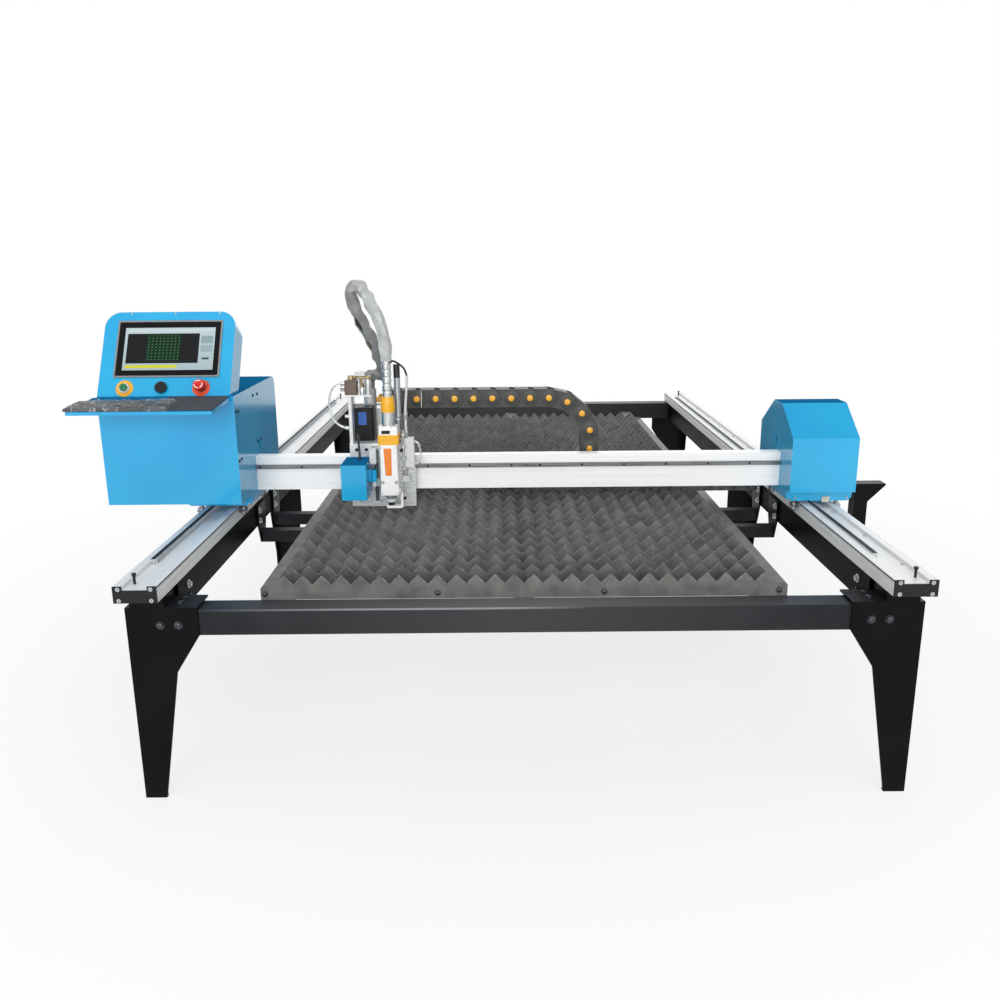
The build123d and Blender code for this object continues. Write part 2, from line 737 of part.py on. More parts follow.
# Beam rails: the front guide in its seat, the upper guide, and the rack for the head drive
with BuildPart() as beam_rails:
    guide_half = GUIDE_LENGTH / 2
    seat_y = beam_front + GUIDE_SUNK
    block(
        (-guide_half, seat_y - GUIDE_SIZE, guide_z - GUIDE_SIZE / 2),
        (guide_half, seat_y, guide_z + GUIDE_SIZE / 2),
    )
    upper_y = beam_front + TOP_GUIDE_PLACE
    block(
        (-guide_half, upper_y - GUIDE_SIZE / 2, beam_deck),
        (guide_half, upper_y + GUIDE_SIZE / 2, beam_deck + GUIDE_SIZE),
    )
    block(
        (-guide_half, beam_rack_y, beam_deck),
        (guide_half, beam_rack_y + RACK_WIDTH, beam_deck + RACK_HEIGHT),
    )
hand_in(beam_rails, "beam_rails")

# Carriage bases: a plate over the rail with a skirt at each end and four roller axles under it
roller_places = []
for side in (-1, 1):
    for across in (-1, 1):
        for along in (-1, 1):
            place_x = side * rail_x + across * roller_off
            roller_places.append((place_x, GANTRY_Y + along * ROLLER_PLACE))
roller_low = groove_z - ROLLER_WIDTH / 2

with BuildPart() as carriage_bases:
    base_half = BASE_LENGTH / 2
    for side in (-1, 1):
        inner, outer = sorted((side * CARRIAGE_IN, side * carriage_out))
        block(
            (inner, GANTRY_Y - base_half, base_bottom),
            (outer, GANTRY_Y + base_half, base_top),
        )
        skirt_low = base_bottom - SKIRT_DEPTH
        skirt = [
            (inner, base_bottom),
            (inner, skirt_low + SKIRT_CORNER),
            (inner + SKIRT_CORNER, skirt_low),
            (outer - SKIRT_CORNER, skirt_low),
            (outer, skirt_low + SKIRT_CORNER),
            (outer, base_bottom),
        ]
        plate(front_plane(GANTRY_Y - base_half), skirt, -SKIRT_SHEET)
        plate(front_plane(GANTRY_Y + base_half), skirt, SKIRT_SHEET)
        pinion_x = side * rail_x + pinion_off
        rod((pinion_x, GANTRY_Y, base_bottom), SHAFT_HOLE, BASE_PLATE, mode=Mode.SUBTRACT)
    for place_x, place_y in roller_places:
        nut_z = roller_low - RUN_GAP - AXLE_NUT
        rod((place_x, place_y, nut_z), AXLE_SHOULDER, AXLE_NUT)
        rod((place_x, place_y, nut_z), AXLE_RADIUS, base_bottom - nut_z)
        shoulder = roller_low + ROLLER_WIDTH + RUN_GAP
        rod((place_x, place_y, shoulder), AXLE_SHOULDER, base_bottom - shoulder)
hand_in(carriage_bases, "carriage_bases")

# Guide rollers: a tread on each side of a rim that runs in the rail's groove
roller_names = [
    "left_outer_front_roller",
    "left_outer_rear_roller",
    "left_inner_front_roller",
    "left_inner_rear_roller",
    "right_inner_front_roller",
    "right_inner_rear_roller",
    "right_outer_front_roller",
    "right_outer_rear_roller",
]
for roller_name, (place_x, place_y) in zip(roller_names, roller_places):
    with BuildPart() as guide_roller:
        bore = AXLE_RADIUS + RUN_GAP
        middle = ROLLER_WIDTH / 2
        roller_profile = [
            (bore, 0),
            (ROLLER_TREAD, 0),
            (ROLLER_TREAD, middle - ROLLER_RIM),
            (ROLLER_TREAD + ROLLER_RIM, middle),
            (ROLLER_TREAD, middle + ROLLER_RIM),
            (ROLLER_TREAD, ROLLER_WIDTH),
            (bore, ROLLER_WIDTH),
        ]
        turned((place_x, place_y, roller_low), roller_profile)
    hand_in(guide_roller, roller_name)


def pinion(centre, low_z, shaft_top):
    """A spur pinion with straight-flanked teeth and its shaft, on an upright axis."""
    root = PINION_RADIUS - PINION_TOOTH
    tooth_angle = 360 / PINION_TEETH
    gear_points = []
    for tooth in range(PINION_TEETH):
        for share, radius in zip(TOOTH_SHARES, (root, root, PINION_RADIUS, PINION_RADIUS)):
            angle = radians((tooth + share) * tooth_angle)
            gear_points.append((centre[0] + radius * cos(angle), centre[1] + radius * sin(angle)))
    plate(Plane.XY.offset(low_z), gear_points, PINION_WIDTH)
    rod((centre[0], centre[1], low_z), SHAFT_RADIUS, shaft_top - low_z)


# Drive motors on the carriage bases, each with a bore for its pinion shaft
with BuildPart() as drive_motors:
    for side in (-1, 1):
        motor_x = side * rail_x + pinion_off
        motor_half = MOTOR_SIZE / 2
        block(
            (motor_x - motor_half, GANTRY_Y - motor_half, base_top),
            (motor_x + motor_half, GANTRY_Y + motor_half, base_top + MOTOR_HEIGHT),
        )
        bore_depth = SHAFT_GRIP + SHAFT_GAP
        rod((motor_x, GANTRY_Y, base_top), SHAFT_RADIUS + SHAFT_GAP, bore_depth, mode=Mode.SUBTRACT)
hand_in(drive_motors, "drive_motors")

for side, pinion_name in ((-1, "left_drive_pinion"), (1, "right_drive_pinion")):
    with BuildPart() as drive_pinion:
        pinion((side * rail_x + pinion_off, GANTRY_Y), pinion_z, base_top + SHAFT_GRIP)
    hand_in(drive_pinion, pinion_name)

# Cover outline over a carriage: upright ends, two sloping roofs and a flat top, as Y and Z
cover_half = COVER_LENGTH / 2
eaves_z = base_top + COVER_EAVES
cover_top = base_top + COVER_HEIGHT
cover_points = [
    (GANTRY_Y + cover_half, base_top),
    (GANTRY_Y + cover_half, eaves_z),
    (GANTRY_Y + COVER_FLAT / 2, cover_top),
    (GANTRY_Y - COVER_FLAT / 2, cover_top),
    (GANTRY_Y - cover_half, eaves_z),
    (GANTRY_Y - cover_half, base_top),
]

# Carriage side plates: the inner walls that the beam is bolted between
with BuildPart() as carriage_side_plates:
    foot_half = BASE_LENGTH / 2
    foot_z = base_top - CHEEK_DROP
    cheek_foot = [(GANTRY_Y - foot_half, base_top), (GANTRY_Y - foot_half, foot_z)]
    cheek_foot += [(GANTRY_Y + foot_half, foot_z), (GANTRY_Y + foot_half, base_top)]
    plate(Plane.YZ.offset(beam_half), cheek_foot + cover_points, CHEEK_SHEET)
    with BuildSketch(Plane.YZ.offset(-CARRIAGE_IN)) as left_cheek:
        with BuildLine():
            Polyline(
                *cheek_foot,
                (cabinet_rear, base_top),
                (cabinet_rear, cabinet_top),
                (cabinet_front, cabinet_top),
                (cabinet_front, base_top),
                close=True,
            )
        make_face()
        corner = left_cheek.vertices().group_by(Axis.Y)[-1].sort_by(Axis.X)[-1]
        fillet(corner, CABINET_ROUND)
    extrude(left_cheek.sketch, amount=CHEEK_SHEET)
    for plane_x in (-CARRIAGE_IN, beam_half):
        with BuildSketch(Plane.YZ.offset(plane_x)) as cable_slot:
            with Locations((GANTRY_Y, CABLE_SLOT_Z)):
                SlotOverall(CABLE_SLOT_HEIGHT, CABLE_SLOT_WIDTH, rotation=90)
        extrude(cable_slot.sketch, amount=CHEEK_SHEET, mode=Mode.SUBTRACT)
hand_in(carriage_side_plates, "carriage_side_plates")

# Right carriage cover: a folded sheet hood, open towards the side plate and the base
with BuildPart() as right_cover:
    plate(Plane.YZ.offset(CARRIAGE_IN), cover_points, BASE_WIDTH)
    roof_run = cover_half - COVER_FLAT / 2
    roof_rise = COVER_HEIGHT - COVER_EAVES
    roof_length = sqrt(roof_run**2 + roof_rise**2)
    eaves_cut = COVER_SHEET * (roof_length - roof_rise) / roof_run
    flat_cut = COVER_SHEET * (roof_length - roof_run) / roof_rise
    inner_half = cover_half - COVER_SHEET
    inner_flat = COVER_FLAT / 2 - flat_cut
    hood_points = [
        (GANTRY_Y + inner_half, base_top),
        (GANTRY_Y + inner_half, eaves_z - eaves_cut),
        (GANTRY_Y + inner_flat, cover_top - COVER_SHEET),
        (GANTRY_Y - inner_flat, cover_top - COVER_SHEET),
        (GANTRY_Y - inner_half, eaves_z - eaves_cut),
        (GANTRY_Y - inner_half, base_top),
    ]
    plate(
        Plane.YZ.offset(CARRIAGE_IN), hood_points, BASE_WIDTH - COVER_SHEET, mode=Mode.SUBTRACT
    )
hand_in(right_cover, "right_cover")

# Control cabinet: a sheet box open towards the left side plate, with a rounded rear edge
with BuildPart() as control_cabinet:
    cabinet_width = -CARRIAGE_IN - CABINET_LEFT
    for wall, cut_mode in ((0, Mode.ADD), (CABINET_SHEET, Mode.SUBTRACT)):
        with BuildSketch(Plane.YZ.offset(CABINET_LEFT + wall)) as cabinet_outline:
            with BuildLine():
                Polyline(
                    (cabinet_front + wall, base_top + wall),
                    (cabinet_rear - wall, base_top + wall),
                    (cabinet_rear - wall, cabinet_top - wall),
                    (cabinet_front + wall, cabinet_top - wall),
                    close=True,
                )
            make_face()
            corner = cabinet_outline.vertices().group_by(Axis.Y)[-1].sort_by(Axis.X)[-1]
            fillet(corner, CABINET_ROUND - wall)
        extrude(cabinet_outline.sketch, amount=cabinet_width - wall, mode=cut_mode)
    opening_x = -rail_x + pinion_off
    opening_half = MOTOR_OPENING / 2
    block(
        (opening_x - opening_half, GANTRY_Y - opening_half, base_top),
        (opening_x + opening_half, GANTRY_Y + opening_half, base_top + CABINET_SHEET),
        mode=Mode.SUBTRACT,
    )
hand_in(control_cabinet, "control_cabinet")

# Cabinet electronics: power supply, motion controller and drive unit on the cabinet floor
with BuildPart() as cabinet_electronics:
    floor_z = base_top + CABINET_SHEET
    shelf_left = CABINET_LEFT + UNIT_INSET
    for unit, unit_height in enumerate(UNIT_HEIGHTS):
        unit_y = GANTRY_Y - UNIT_LENGTH - UNIT_GAP / 2 + unit * (UNIT_LENGTH + UNIT_GAP)
        block(
            (shelf_left, unit_y, floor_z),
            (shelf_left + UNIT_WIDTH, unit_y + UNIT_LENGTH, floor_z + unit_height),
        )
    controller_x = shelf_left + UNIT_WIDTH + UNIT_GAP
    block(
        (controller_x, GANTRY_Y - UNIT_LENGTH, floor_z),
        (controller_x + CONTROLLER_WIDTH, GANTRY_Y + UNIT_LENGTH, floor_z + CONTROLLER_HEIGHT),
    )
hand_in(cabinet_electronics, "cabinet_electronics")

# Console: a box that leans back from the cabinet's front edge, cut level where it stands
lean = radians(CONSOLE_LEAN)
console_right = -CARRIAGE_IN - CONSOLE_SIDE_GAP
console_width = console_right - CABINET_LEFT
console_x = (console_right + CABINET_LEFT) / 2
console_foot = Vector(0, cabinet_front + CONSOLE_SET_BACK, cabinet_top)
face_normal = Vector(0, -cos(lean), sin(lean))


def face_plane(lift):
    """The console's leaning face, lifted outwards: X to the right, and up the face."""
    return Plane(console_foot + face_normal * lift, x_dir=(1, 0, 0), z_dir=face_normal)


with BuildPart() as console_shell:
    with BuildSketch(face_plane(0)) as console_outline:
        with Locations((console_x, CONSOLE_FACE / 2)):
            Rectangle(console_width, CONSOLE_FACE)
        fillet(console_outline.vertices().group_by(Axis.Y)[-1], CONSOLE_ROUND)
    extrude(console_outline.sketch, amount=-CONSOLE_DEPTH)
    back_up = Vector(0, sin(lean), cos(lean))
    wedge = [
        console_foot + back_up * CONSOLE_FACE,
        console_foot + back_up * CONSOLE_FACE - face_normal * CONSOLE_DEPTH,
        console_foot + back_up * (CONSOLE_FACE - CONSOLE_CHAMFER) - face_normal * CONSOLE_DEPTH,
    ]
    plate(
        Plane.YZ.offset(CABINET_LEFT),
        [(point.Y, point.Z) for point in wedge],
        console_width,
        mode=Mode.SUBTRACT,
    )
    split(bisect_by=Plane.XY.offset(cabinet_top), keep=Keep.TOP)
    for pocket_depth in (MONITOR_DEPTH, CONSOLE_DEPTH - CONSOLE_WALL):
        pocket_low = pocket_depth * tan(lean) + CONSOLE_WALL
        roof_slope = CONSOLE_CHAMFER / CONSOLE_DEPTH
        pocket_high = CONSOLE_FACE - pocket_depth * roof_slope - 2 * CONSOLE_WALL
        with BuildSketch(face_plane(0)) as pocket:
            with Locations((console_x, (pocket_low + pocket_high) / 2)):
                Rectangle(console_width - 2 * CONSOLE_WALL, pocket_high - pocket_low)
        extrude(pocket.sketch, amount=-pocket_depth, mode=Mode.SUBTRACT)
    with BuildSketch(face_plane(0)) as button_wells:
        with Locations((START_X, BUTTON_ROW), (KNOB_X, BUTTON_ROW), (STOP_X, BUTTON_ROW)):
            Circle(2 * BUTTON_STEM)
    extrude(button_wells.sketch, amount=-2 * BUTTON_TAIL, mode=Mode.SUBTRACT)
hand_in(console_shell, "console_shell")

# Console panel: the front sheet with a window for the monitor and three button holes
monitor_x = console_x + MONITOR_SHIFT
monitor_up = MONITOR_FOOT + MONITOR_HEIGHT / 2
body_width = MONITOR_WIDTH - 2 * MONITOR_RIM
body_height = MONITOR_HEIGHT - 2 * MONITOR_RIM

with BuildPart() as console_panel:
    with BuildSketch(face_plane(0)) as panel_outline:
        with Locations((console_x, CONSOLE_FACE / 2)):
            Rectangle(console_width, CONSOLE_FACE)
        fillet(panel_outline.vertices().group_by(Axis.Y)[-1], CONSOLE_ROUND)
        with Locations((monitor_x, monitor_up)):
            Rectangle(body_width + 2 * FIT_GAP, body_height + 2 * FIT_GAP, mode=Mode.SUBTRACT)
        with Locations((START_X, BUTTON_ROW), (KNOB_X, BUTTON_ROW), (STOP_X, BUTTON_ROW)):
            Circle(BUTTON_STEM + FIT_GAP, mode=Mode.SUBTRACT)
    extrude(panel_outline.sketch, amount=PANEL_SHEET)
hand_in(console_panel, "console_panel")

# Monitor: a bezel on the panel's face and the body behind it
with BuildPart() as monitor:
    with BuildSketch(face_plane(PANEL_SHEET)) as bezel:
        with Locations((monitor_x, monitor_up)):
            Rectangle(MONITOR_WIDTH, MONITOR_HEIGHT)
            Rectangle(body_width, body_height, mode=Mode.SUBTRACT)
    extrude(bezel.sketch, amount=MONITOR_BEZEL)
    with BuildSketch(face_plane(PANEL_SHEET - MONITOR_DEPTH)) as display:
        with Locations((monitor_x, monitor_up)):
            Rectangle(body_width, body_height)
    extrude(display.sketch, amount=MONITOR_DEPTH + MONITOR_BEZEL - FIT_GAP)
hand_in(monitor, "monitor")

# Legend rings under the start button and the emergency stop, with the start button's collar
with BuildPart() as button_rings:
    with BuildSketch(face_plane(PANEL_SHEET)) as legend:
        with Locations((START_X, BUTTON_ROW), (STOP_X, BUTTON_ROW)):
            Circle(RING_RADIUS)
            Circle(BUTTON_STEM + FIT_GAP, mode=Mode.SUBTRACT)
    extrude(legend.sketch, amount=RING_SHEET)
    with BuildSketch(face_plane(PANEL_SHEET + RING_SHEET)) as collar:
        with Locations((START_X, BUTTON_ROW)):
            Circle(START_COLLAR)
            Circle(START_RADIUS + PRESS_GAP, mode=Mode.SUBTRACT)
    extrude(collar.sketch, amount=COLLAR_HEIGHT)
hand_in(button_rings, "button_rings")


def button(centre_x, steps):
    """A button on the console's normal: a stem through the panel, then discs of radius and lift."""
    with BuildSketch(face_plane(-BUTTON_TAIL)) as stem:
        with Locations((centre_x, BUTTON_ROW)):
            Circle(BUTTON_STEM)
    extrude(stem.sketch, amount=BUTTON_TAIL + steps[0][1])
    for radius, low, high in steps:
        with BuildSketch(face_plane(low)) as disc:
            with Locations((centre_x, BUTTON_ROW)):
                Circle(radius)
        extrude(disc.sketch, amount=high - low)


# Travel room is left under each cap, so a pressed button doesn't reach the panel or its ring
press_lift = PANEL_SHEET + RING_SHEET + COLLAR_HEIGHT - PRESS_GAP
with BuildPart() as start_button:
    button(START_X, [(START_RADIUS, press_lift, PANEL_SHEET + RING_SHEET + START_HEIGHT)])
hand_in(start_button, "start_button")

with BuildPart() as panel_button:
    knob_low = PANEL_SHEET + COLLAR_HEIGHT
    button(KNOB_X, [(KNOB_RADIUS, knob_low, PANEL_SHEET + KNOB_HEIGHT)])
    knob_top = panel_button.faces().sort_by(Axis(console_foot, face_normal))[-1]
    fillet(knob_top.edges(), RING_SHEET)
hand_in(panel_button, "panel_button")

with BuildPart() as emergency_stop:
    stop_low = PANEL_SHEET + RING_SHEET + COLLAR_HEIGHT
    stop_cap = stop_low + STOP_STEM_HEIGHT
    button(
        STOP_X,
        [(STOP_STEM, stop_low, stop_cap), (STOP_RADIUS, stop_cap, stop_cap + STOP_CAP)],
    )
hand_in(emergency_stop, "emergency_stop")

# Keyboard tray: a tilted sheet with turned-down edges, bolted to the cabinet by a flange
tilt = radians(TRAY_TILT)
tray_front = cabinet_front - TRAY_DEPTH * cos(tilt)
tray_low = TRAY_Z - TRAY_DEPTH * sin(tilt)
sheet_drop = TRAY_SHEET / cos(tilt)

with BuildPart() as keyboard_tray:
    tray_points = [
        (cabinet_front, TRAY_Z),
        (tray_front, tray_low),
        (tray_front, tray_low - TRAY_LIP),
        (tray_front + TRAY_SHEET, tray_low - TRAY_LIP),
        (tray_front + TRAY_SHEET, tray_low + TRAY_SHEET * tan(tilt) - sheet_drop),
        (cabinet_front - TRAY_SHEET, TRAY_Z - TRAY_SHEET * tan(tilt) - sheet_drop),
        (cabinet_front - TRAY_SHEET, TRAY_Z - TRAY_FLANGE),
        (cabinet_front, TRAY_Z - TRAY_FLANGE),
    ]
    plate(Plane.YZ.offset(TRAY_LEFT), tray_points, TRAY_WIDTH)
    side_lip = [
        (cabinet_front, TRAY_Z),
        (tray_front, tray_low),
        (tray_front, tray_low - TRAY_LIP),
        (cabinet_front, TRAY_Z - TRAY_LIP),
    ]
    for lip_x in (TRAY_LEFT, TRAY_LEFT + TRAY_WIDTH - TRAY_SHEET):
        plate(Plane.YZ.offset(lip_x), side_lip, TRAY_SHEET)
hand_in(keyboard_tray, "keyboard_tray")

tray_plane = Plane(
    (TRAY_LEFT, cabinet_front, TRAY_Z), x_dir=(1, 0, 0), z_dir=(0, -sin(tilt), cos(tilt))
)

# Keyboard and mouse pad lie on the tray, the pad cut round the keyboard's right end
keyboard_x = KEYBOARD_WIDTH / 2 - KEYBOARD_OVERHANG
keyboard_y = -TRAY_DEPTH + TRAY_MARGIN + KEYBOARD_DEPTH / 2

with BuildPart() as keyboard_and_pad:
    with BuildSketch(tray_plane) as keyboard_outline:
        with Locations((keyboard_x, keyboard_y)):
            RectangleRounded(KEYBOARD_WIDTH, KEYBOARD_DEPTH, TRAY_MARGIN)
    extrude(keyboard_outline.sketch, amount=KEYBOARD_THICK)
    keyboard_top = keyboard_and_pad.faces().sort_by(Axis(tray_plane.origin, tray_plane.z_dir))[-1]
    fillet(keyboard_top.edges(), TRAY_SHEET)
    with BuildSketch(tray_plane) as pad_outline:
        with Locations((TRAY_WIDTH - PAD_MARGIN - PAD_WIDTH / 2, -PAD_MARGIN - PAD_DEPTH / 2)):
            RectangleRounded(PAD_WIDTH, PAD_DEPTH, TRAY_MARGIN)
        with Locations((keyboard_x, keyboard_y - TRAY_MARGIN)):
            Rectangle(
                KEYBOARD_WIDTH + 2 * FIT_GAP,
                KEYBOARD_DEPTH + 2 * (TRAY_MARGIN + FIT_GAP),
                mode=Mode.SUBTRACT,
            )
    extrude(pad_outline.sketch, amount=PAD_THICK)
hand_in(keyboard_and_pad, "keyboard_and_pad")

# Cable track arm: a shelf behind the right carriage with a post and an outward gusset
with BuildPart() as cable_arm:
    arm_y = GANTRY_Y + BASE_LENGTH / 2
    arm_top = base_top - ARM_DROP
    tab_left = carriage_out - ARM_TAB
    arm_right = carriage_out + ARM_REACH
    post_left = carriage_out + ARM_POST_OUT
    block((tab_left, arm_y, arm_top), (carriage_out, arm_y + ARM_SHEET, base_top))
    block((tab_left, arm_y, arm_top - ARM_SHEET), (arm_right, arm_y + ARM_DEPTH, arm_top))
    block(
        (post_left, arm_y, arm_top - ARM_POST_LENGTH),
        (post_left + ARM_POST, arm_y + ARM_DEPTH, arm_top - ARM_SHEET),
    )
    gusset_points = [
        (post_left + ARM_POST, arm_top - ARM_SHEET),
        (arm_right, arm_top - ARM_SHEET),
        (post_left + ARM_POST, arm_top - ARM_GUSSET),
    ]
    plate(front_plane(arm_y), gusset_points, -ARM_SHEET)
hand_in(cable_arm, "cable_arm")


def chain_link(pivot, angle):
    """One drag chain link from its pivot: a box frame with a round nose and a hollow for the last nose."""
    nose = CHAIN_HEIGHT / 2
    hollow = nose + CHAIN_GAP
    notch = radians(NOTCH_ANGLE)
    notch_x = hollow * cos(notch)
    notch_z = hollow * sin(notch)
    along = Vector(cos(radians(angle)), 0, -sin(radians(angle)))
    side_plane = Plane((pivot[0], chain_y, pivot[1]), x_dir=along, z_dir=(0, -1, 0))
    with BuildSketch(side_plane.offset(-CHAIN_WIDTH / 2)) as link_side:
        with BuildLine():
            Polyline((notch_x, notch_z), (notch_x + NOTCH_RUN, nose), (CHAIN_PITCH, nose))
            ThreePointArc((CHAIN_PITCH, nose), (CHAIN_PITCH + nose, 0), (CHAIN_PITCH, -nose))
            Polyline((CHAIN_PITCH, -nose), (notch_x + NOTCH_RUN, -nose), (notch_x, -notch_z))
            ThreePointArc((notch_x, -notch_z), (hollow, 0), (notch_x, notch_z))
        make_face()
    extrude(link_side.sketch, amount=CHAIN_WIDTH)
    inside_x = CHAIN_WIDTH - 2 * CHAIN_WALL
    inside_z = CHAIN_HEIGHT - 2 * CHAIN_WALL
    end_plane = Plane((pivot[0], chain_y, pivot[1]), x_dir=(0, 1, 0), z_dir=along)
    with BuildSketch(end_plane) as passage:
        Rectangle(inside_x, inside_z)
    extrude(passage.sketch, amount=CHAIN_PITCH + CHAIN_HEIGHT, mode=Mode.SUBTRACT)


# Each link is cut by itself, so the links are gathered from parts of their own
def chain_run(start, angles):
    """A row of separate links, each turned by its own angle, from a first pivot."""
    links = []
    pivot_x, pivot_z = start
    for angle in angles:
        with BuildPart() as link:
            chain_link((pivot_x, pivot_z), angle)
        links.append(link.part)
        pivot_x += CHAIN_PITCH * cos(radians(angle))
        pivot_z -= CHAIN_PITCH * sin(radians(angle))
    return links


turn = 180 / CHAIN_TURNS
bend_angles = [turn * (step + 0.5) for step in range(CHAIN_TURNS)]
upper_links = chain_run((CHAIN_START_X, chain_high), [0] * CHAIN_UPPER_LINKS)
bend_links = chain_run((chain_bend_x, chain_high), bend_angles)
lower_links = chain_run((chain_bend_x, chain_low), [180] * CHAIN_LOWER_LINKS)
with BuildPart() as chain_upper_run:
    add(upper_links)
hand_in(chain_upper_run, "chain_upper_run")

with BuildPart() as chain_bend_links:
    add(bend_links)
hand_in(chain_bend_links, "chain_bend_links")

with BuildPart() as chain_lower_run:
    add(lower_links)
hand_in(chain_lower_run, "chain_lower_run")

# Chain trough: a sheet channel on the back of the beam in which the lower run lies
with BuildPart() as chain_trough:
    trough_back = chain_y + CHAIN_WIDTH / 2 + TROUGH_PLAY + TROUGH_SHEET
    trough_low = TROUGH_FLOOR - TROUGH_SHEET
    trough_points = [
        (beam_back, trough_low),
        (trough_back, trough_low),
        (trough_back, trough_low + TROUGH_WALL),
        (trough_back - TROUGH_SHEET, trough_low + TROUGH_WALL),
        (trough_back - TROUGH_SHEET, TROUGH_FLOOR),
        (beam_back + TROUGH_SHEET, TROUGH_FLOOR),
        (beam_back + TROUGH_SHEET, trough_low + TROUGH_WALL),
        (beam_back, trough_low + TROUGH_WALL),
    ]
    trough_left = chain_bend_x - CHAIN_LOWER_LINKS * CHAIN_PITCH - CHAIN_HEIGHT / 2 - TROUGH_MARGIN
    plate(Plane.YZ.offset(trough_left), trough_points, TROUGH_RIGHT - trough_left)
hand_in(chain_trough, "chain_trough")

# Carriage plate with the Z guide and the two bearing lugs of the Z screw
with BuildPart() as carriage_plate:
    plate_right = PLATE_LEFT + PLATE_WIDTH
    block((PLATE_LEFT, plate_front, PLATE_BOTTOM), (plate_right, plate_back, plate_top))
    lug_low = PLATE_BOTTOM + 2 * LUG_SHEET
    lug_high = plate_top - LUG_SHEET / 2
    block(
        (HEAD_X - Z_GUIDE_WIDTH / 2, plate_front - Z_GUIDE_DEPTH, lug_low),
        (HEAD_X + Z_GUIDE_WIDTH / 2, plate_front, lug_high),
    )
    for lug_z in (lug_low, lug_high - LUG_SHEET):
        block(
            (SCREW_X - SCREW_LUG / 2, screw_y - SCREW_LUG / 2, lug_z),
            (SCREW_X + SCREW_LUG / 2, plate_front, lug_z + LUG_SHEET),
        )
        rod((SCREW_X, screw_y, lug_z), SHAFT_RADIUS + SHAFT_GAP, LUG_SHEET, mode=Mode.SUBTRACT)
hand_in(carriage_plate, "carriage_plate")

# Z screw between the two lugs
with BuildPart() as z_screw:
    rod((SCREW_X, screw_y, lug_low), SHAFT_RADIUS, lug_high - lug_low)
hand_in(z_screw, "z_screw")

# Guide blocks: two on the beam's front guide and two on its upper guide
with BuildPart() as guide_blocks:
    front_guide_face = seat_y - GUIDE_SIZE
    for block_x in (
        PLATE_LEFT + BLOCK_INSET,
        PLATE_LEFT + PLATE_WIDTH - BLOCK_INSET - BLOCK_LENGTH,
    ):
        block(
            (block_x, plate_back, guide_z - GUIDE_SIZE / 2 - BLOCK_SIDE),
            (block_x + BLOCK_LENGTH, beam_front - FIT_GAP, guide_z + GUIDE_SIZE / 2 + BLOCK_SIDE),
        )
        block(
            (block_x, front_guide_face - SLIDE_GAP, guide_z - GUIDE_SIZE / 2 - SLIDE_GAP),
            (block_x + BLOCK_LENGTH, beam_front, guide_z + GUIDE_SIZE / 2 + SLIDE_GAP),
            mode=Mode.SUBTRACT,
        )
    for block_x in (
        PLATE_LEFT + BLOCK_INSET,
        PLATE_LEFT + BRACKET_WIDTH - BLOCK_INSET - BLOCK_LENGTH / 2,
    ):
        block(
            (block_x, upper_y - GUIDE_SIZE / 2 - BLOCK_INSET, beam_deck + FIT_GAP),
            (block_x + BLOCK_LENGTH / 2, upper_y + GUIDE_SIZE / 2 + BLOCK_INSET, bracket_z),
        )
        block(
            (block_x, upper_y - GUIDE_SIZE / 2 - SLIDE_GAP, beam_deck),
            (
                block_x + BLOCK_LENGTH / 2,
                upper_y + GUIDE_SIZE / 2 + SLIDE_GAP,
                beam_deck + GUIDE_SIZE + SLIDE_GAP,
            ),
            mode=Mode.SUBTRACT,
        )
hand_in(guide_blocks, "guide_blocks")

# Carriage bracket: a shelf over the beam with the chain's end shelf, a sleeve clamp and the valve post
with BuildPart() as carriage_bracket:
    bracket_right = PLATE_LEFT + BRACKET_WIDTH
    chain_front = chain_y - CHAIN_WIDTH / 2
    chain_rear = chain_y + CHAIN_WIDTH / 2
    shelf_top = chain_high - CHAIN_HEIGHT / 2
    shelf_left_x = PLATE_LEFT + SHELF_LEFT
    clamp_x = shelf_left_x + CLAMP_INSET
    block((PLATE_LEFT, plate_back, bracket_z), (bracket_right, chain_rear, bracket_top))
    rod((x_motor_x, x_pinion_y, bracket_z), SHAFT_HOLE, BRACKET_SHEET, mode=Mode.SUBTRACT)
    block(
        (shelf_left_x, chain_front, bracket_top),
        (bracket_right, chain_front + SHELF_SHEET, shelf_top),
    )
    block(
        (shelf_left_x, chain_front, shelf_top - SHELF_SHEET),
        (shelf_left_x + SHELF_LENGTH, chain_rear, shelf_top),
    )
    rod((clamp_x, chain_y, shelf_top), CLAMP_RADIUS, CLAMP_HEIGHT)
    block(
        (PLATE_LEFT, plate_back, bracket_top),
        (PLATE_LEFT + VALVE_POST, plate_back + VALVE_DEPTH, VALVE_Z - SHELF_SHEET),
    )
    valve_left = PLATE_LEFT - VALVE_POST
    block(
        (valve_left, plate_back, VALVE_Z - SHELF_SHEET),
        (valve_left + VALVE_SHELF, plate_back + VALVE_DEPTH, VALVE_Z),
    )
hand_in(carriage_bracket, "carriage_bracket")

# Drive motor of the head, its bore, and its pinion on the beam's rack
with BuildPart() as x_drive_motor:
    x_half = X_MOTOR_SIZE / 2
    block(
        (x_motor_x - x_half, x_pinion_y - x_half, bracket_top),
        (x_motor_x + x_half, x_pinion_y + x_half, bracket_top + X_MOTOR_HEIGHT),
    )
    fillet(x_drive_motor.edges().filter_by(Axis.Z), LUG_SHEET)
    bore_depth = SHAFT_GRIP + SHAFT_GAP
    rod((x_motor_x, x_pinion_y, bracket_top), SHAFT_RADIUS + SHAFT_GAP, bore_depth, mode=Mode.SUBTRACT)
hand_in(x_drive_motor, "x_drive_motor")

with BuildPart() as x_drive_pinion:
    pinion((x_motor_x, x_pinion_y), beam_deck + PINION_LIFT, bracket_top + SHAFT_GRIP)
hand_in(x_drive_pinion, "x_drive_pinion")

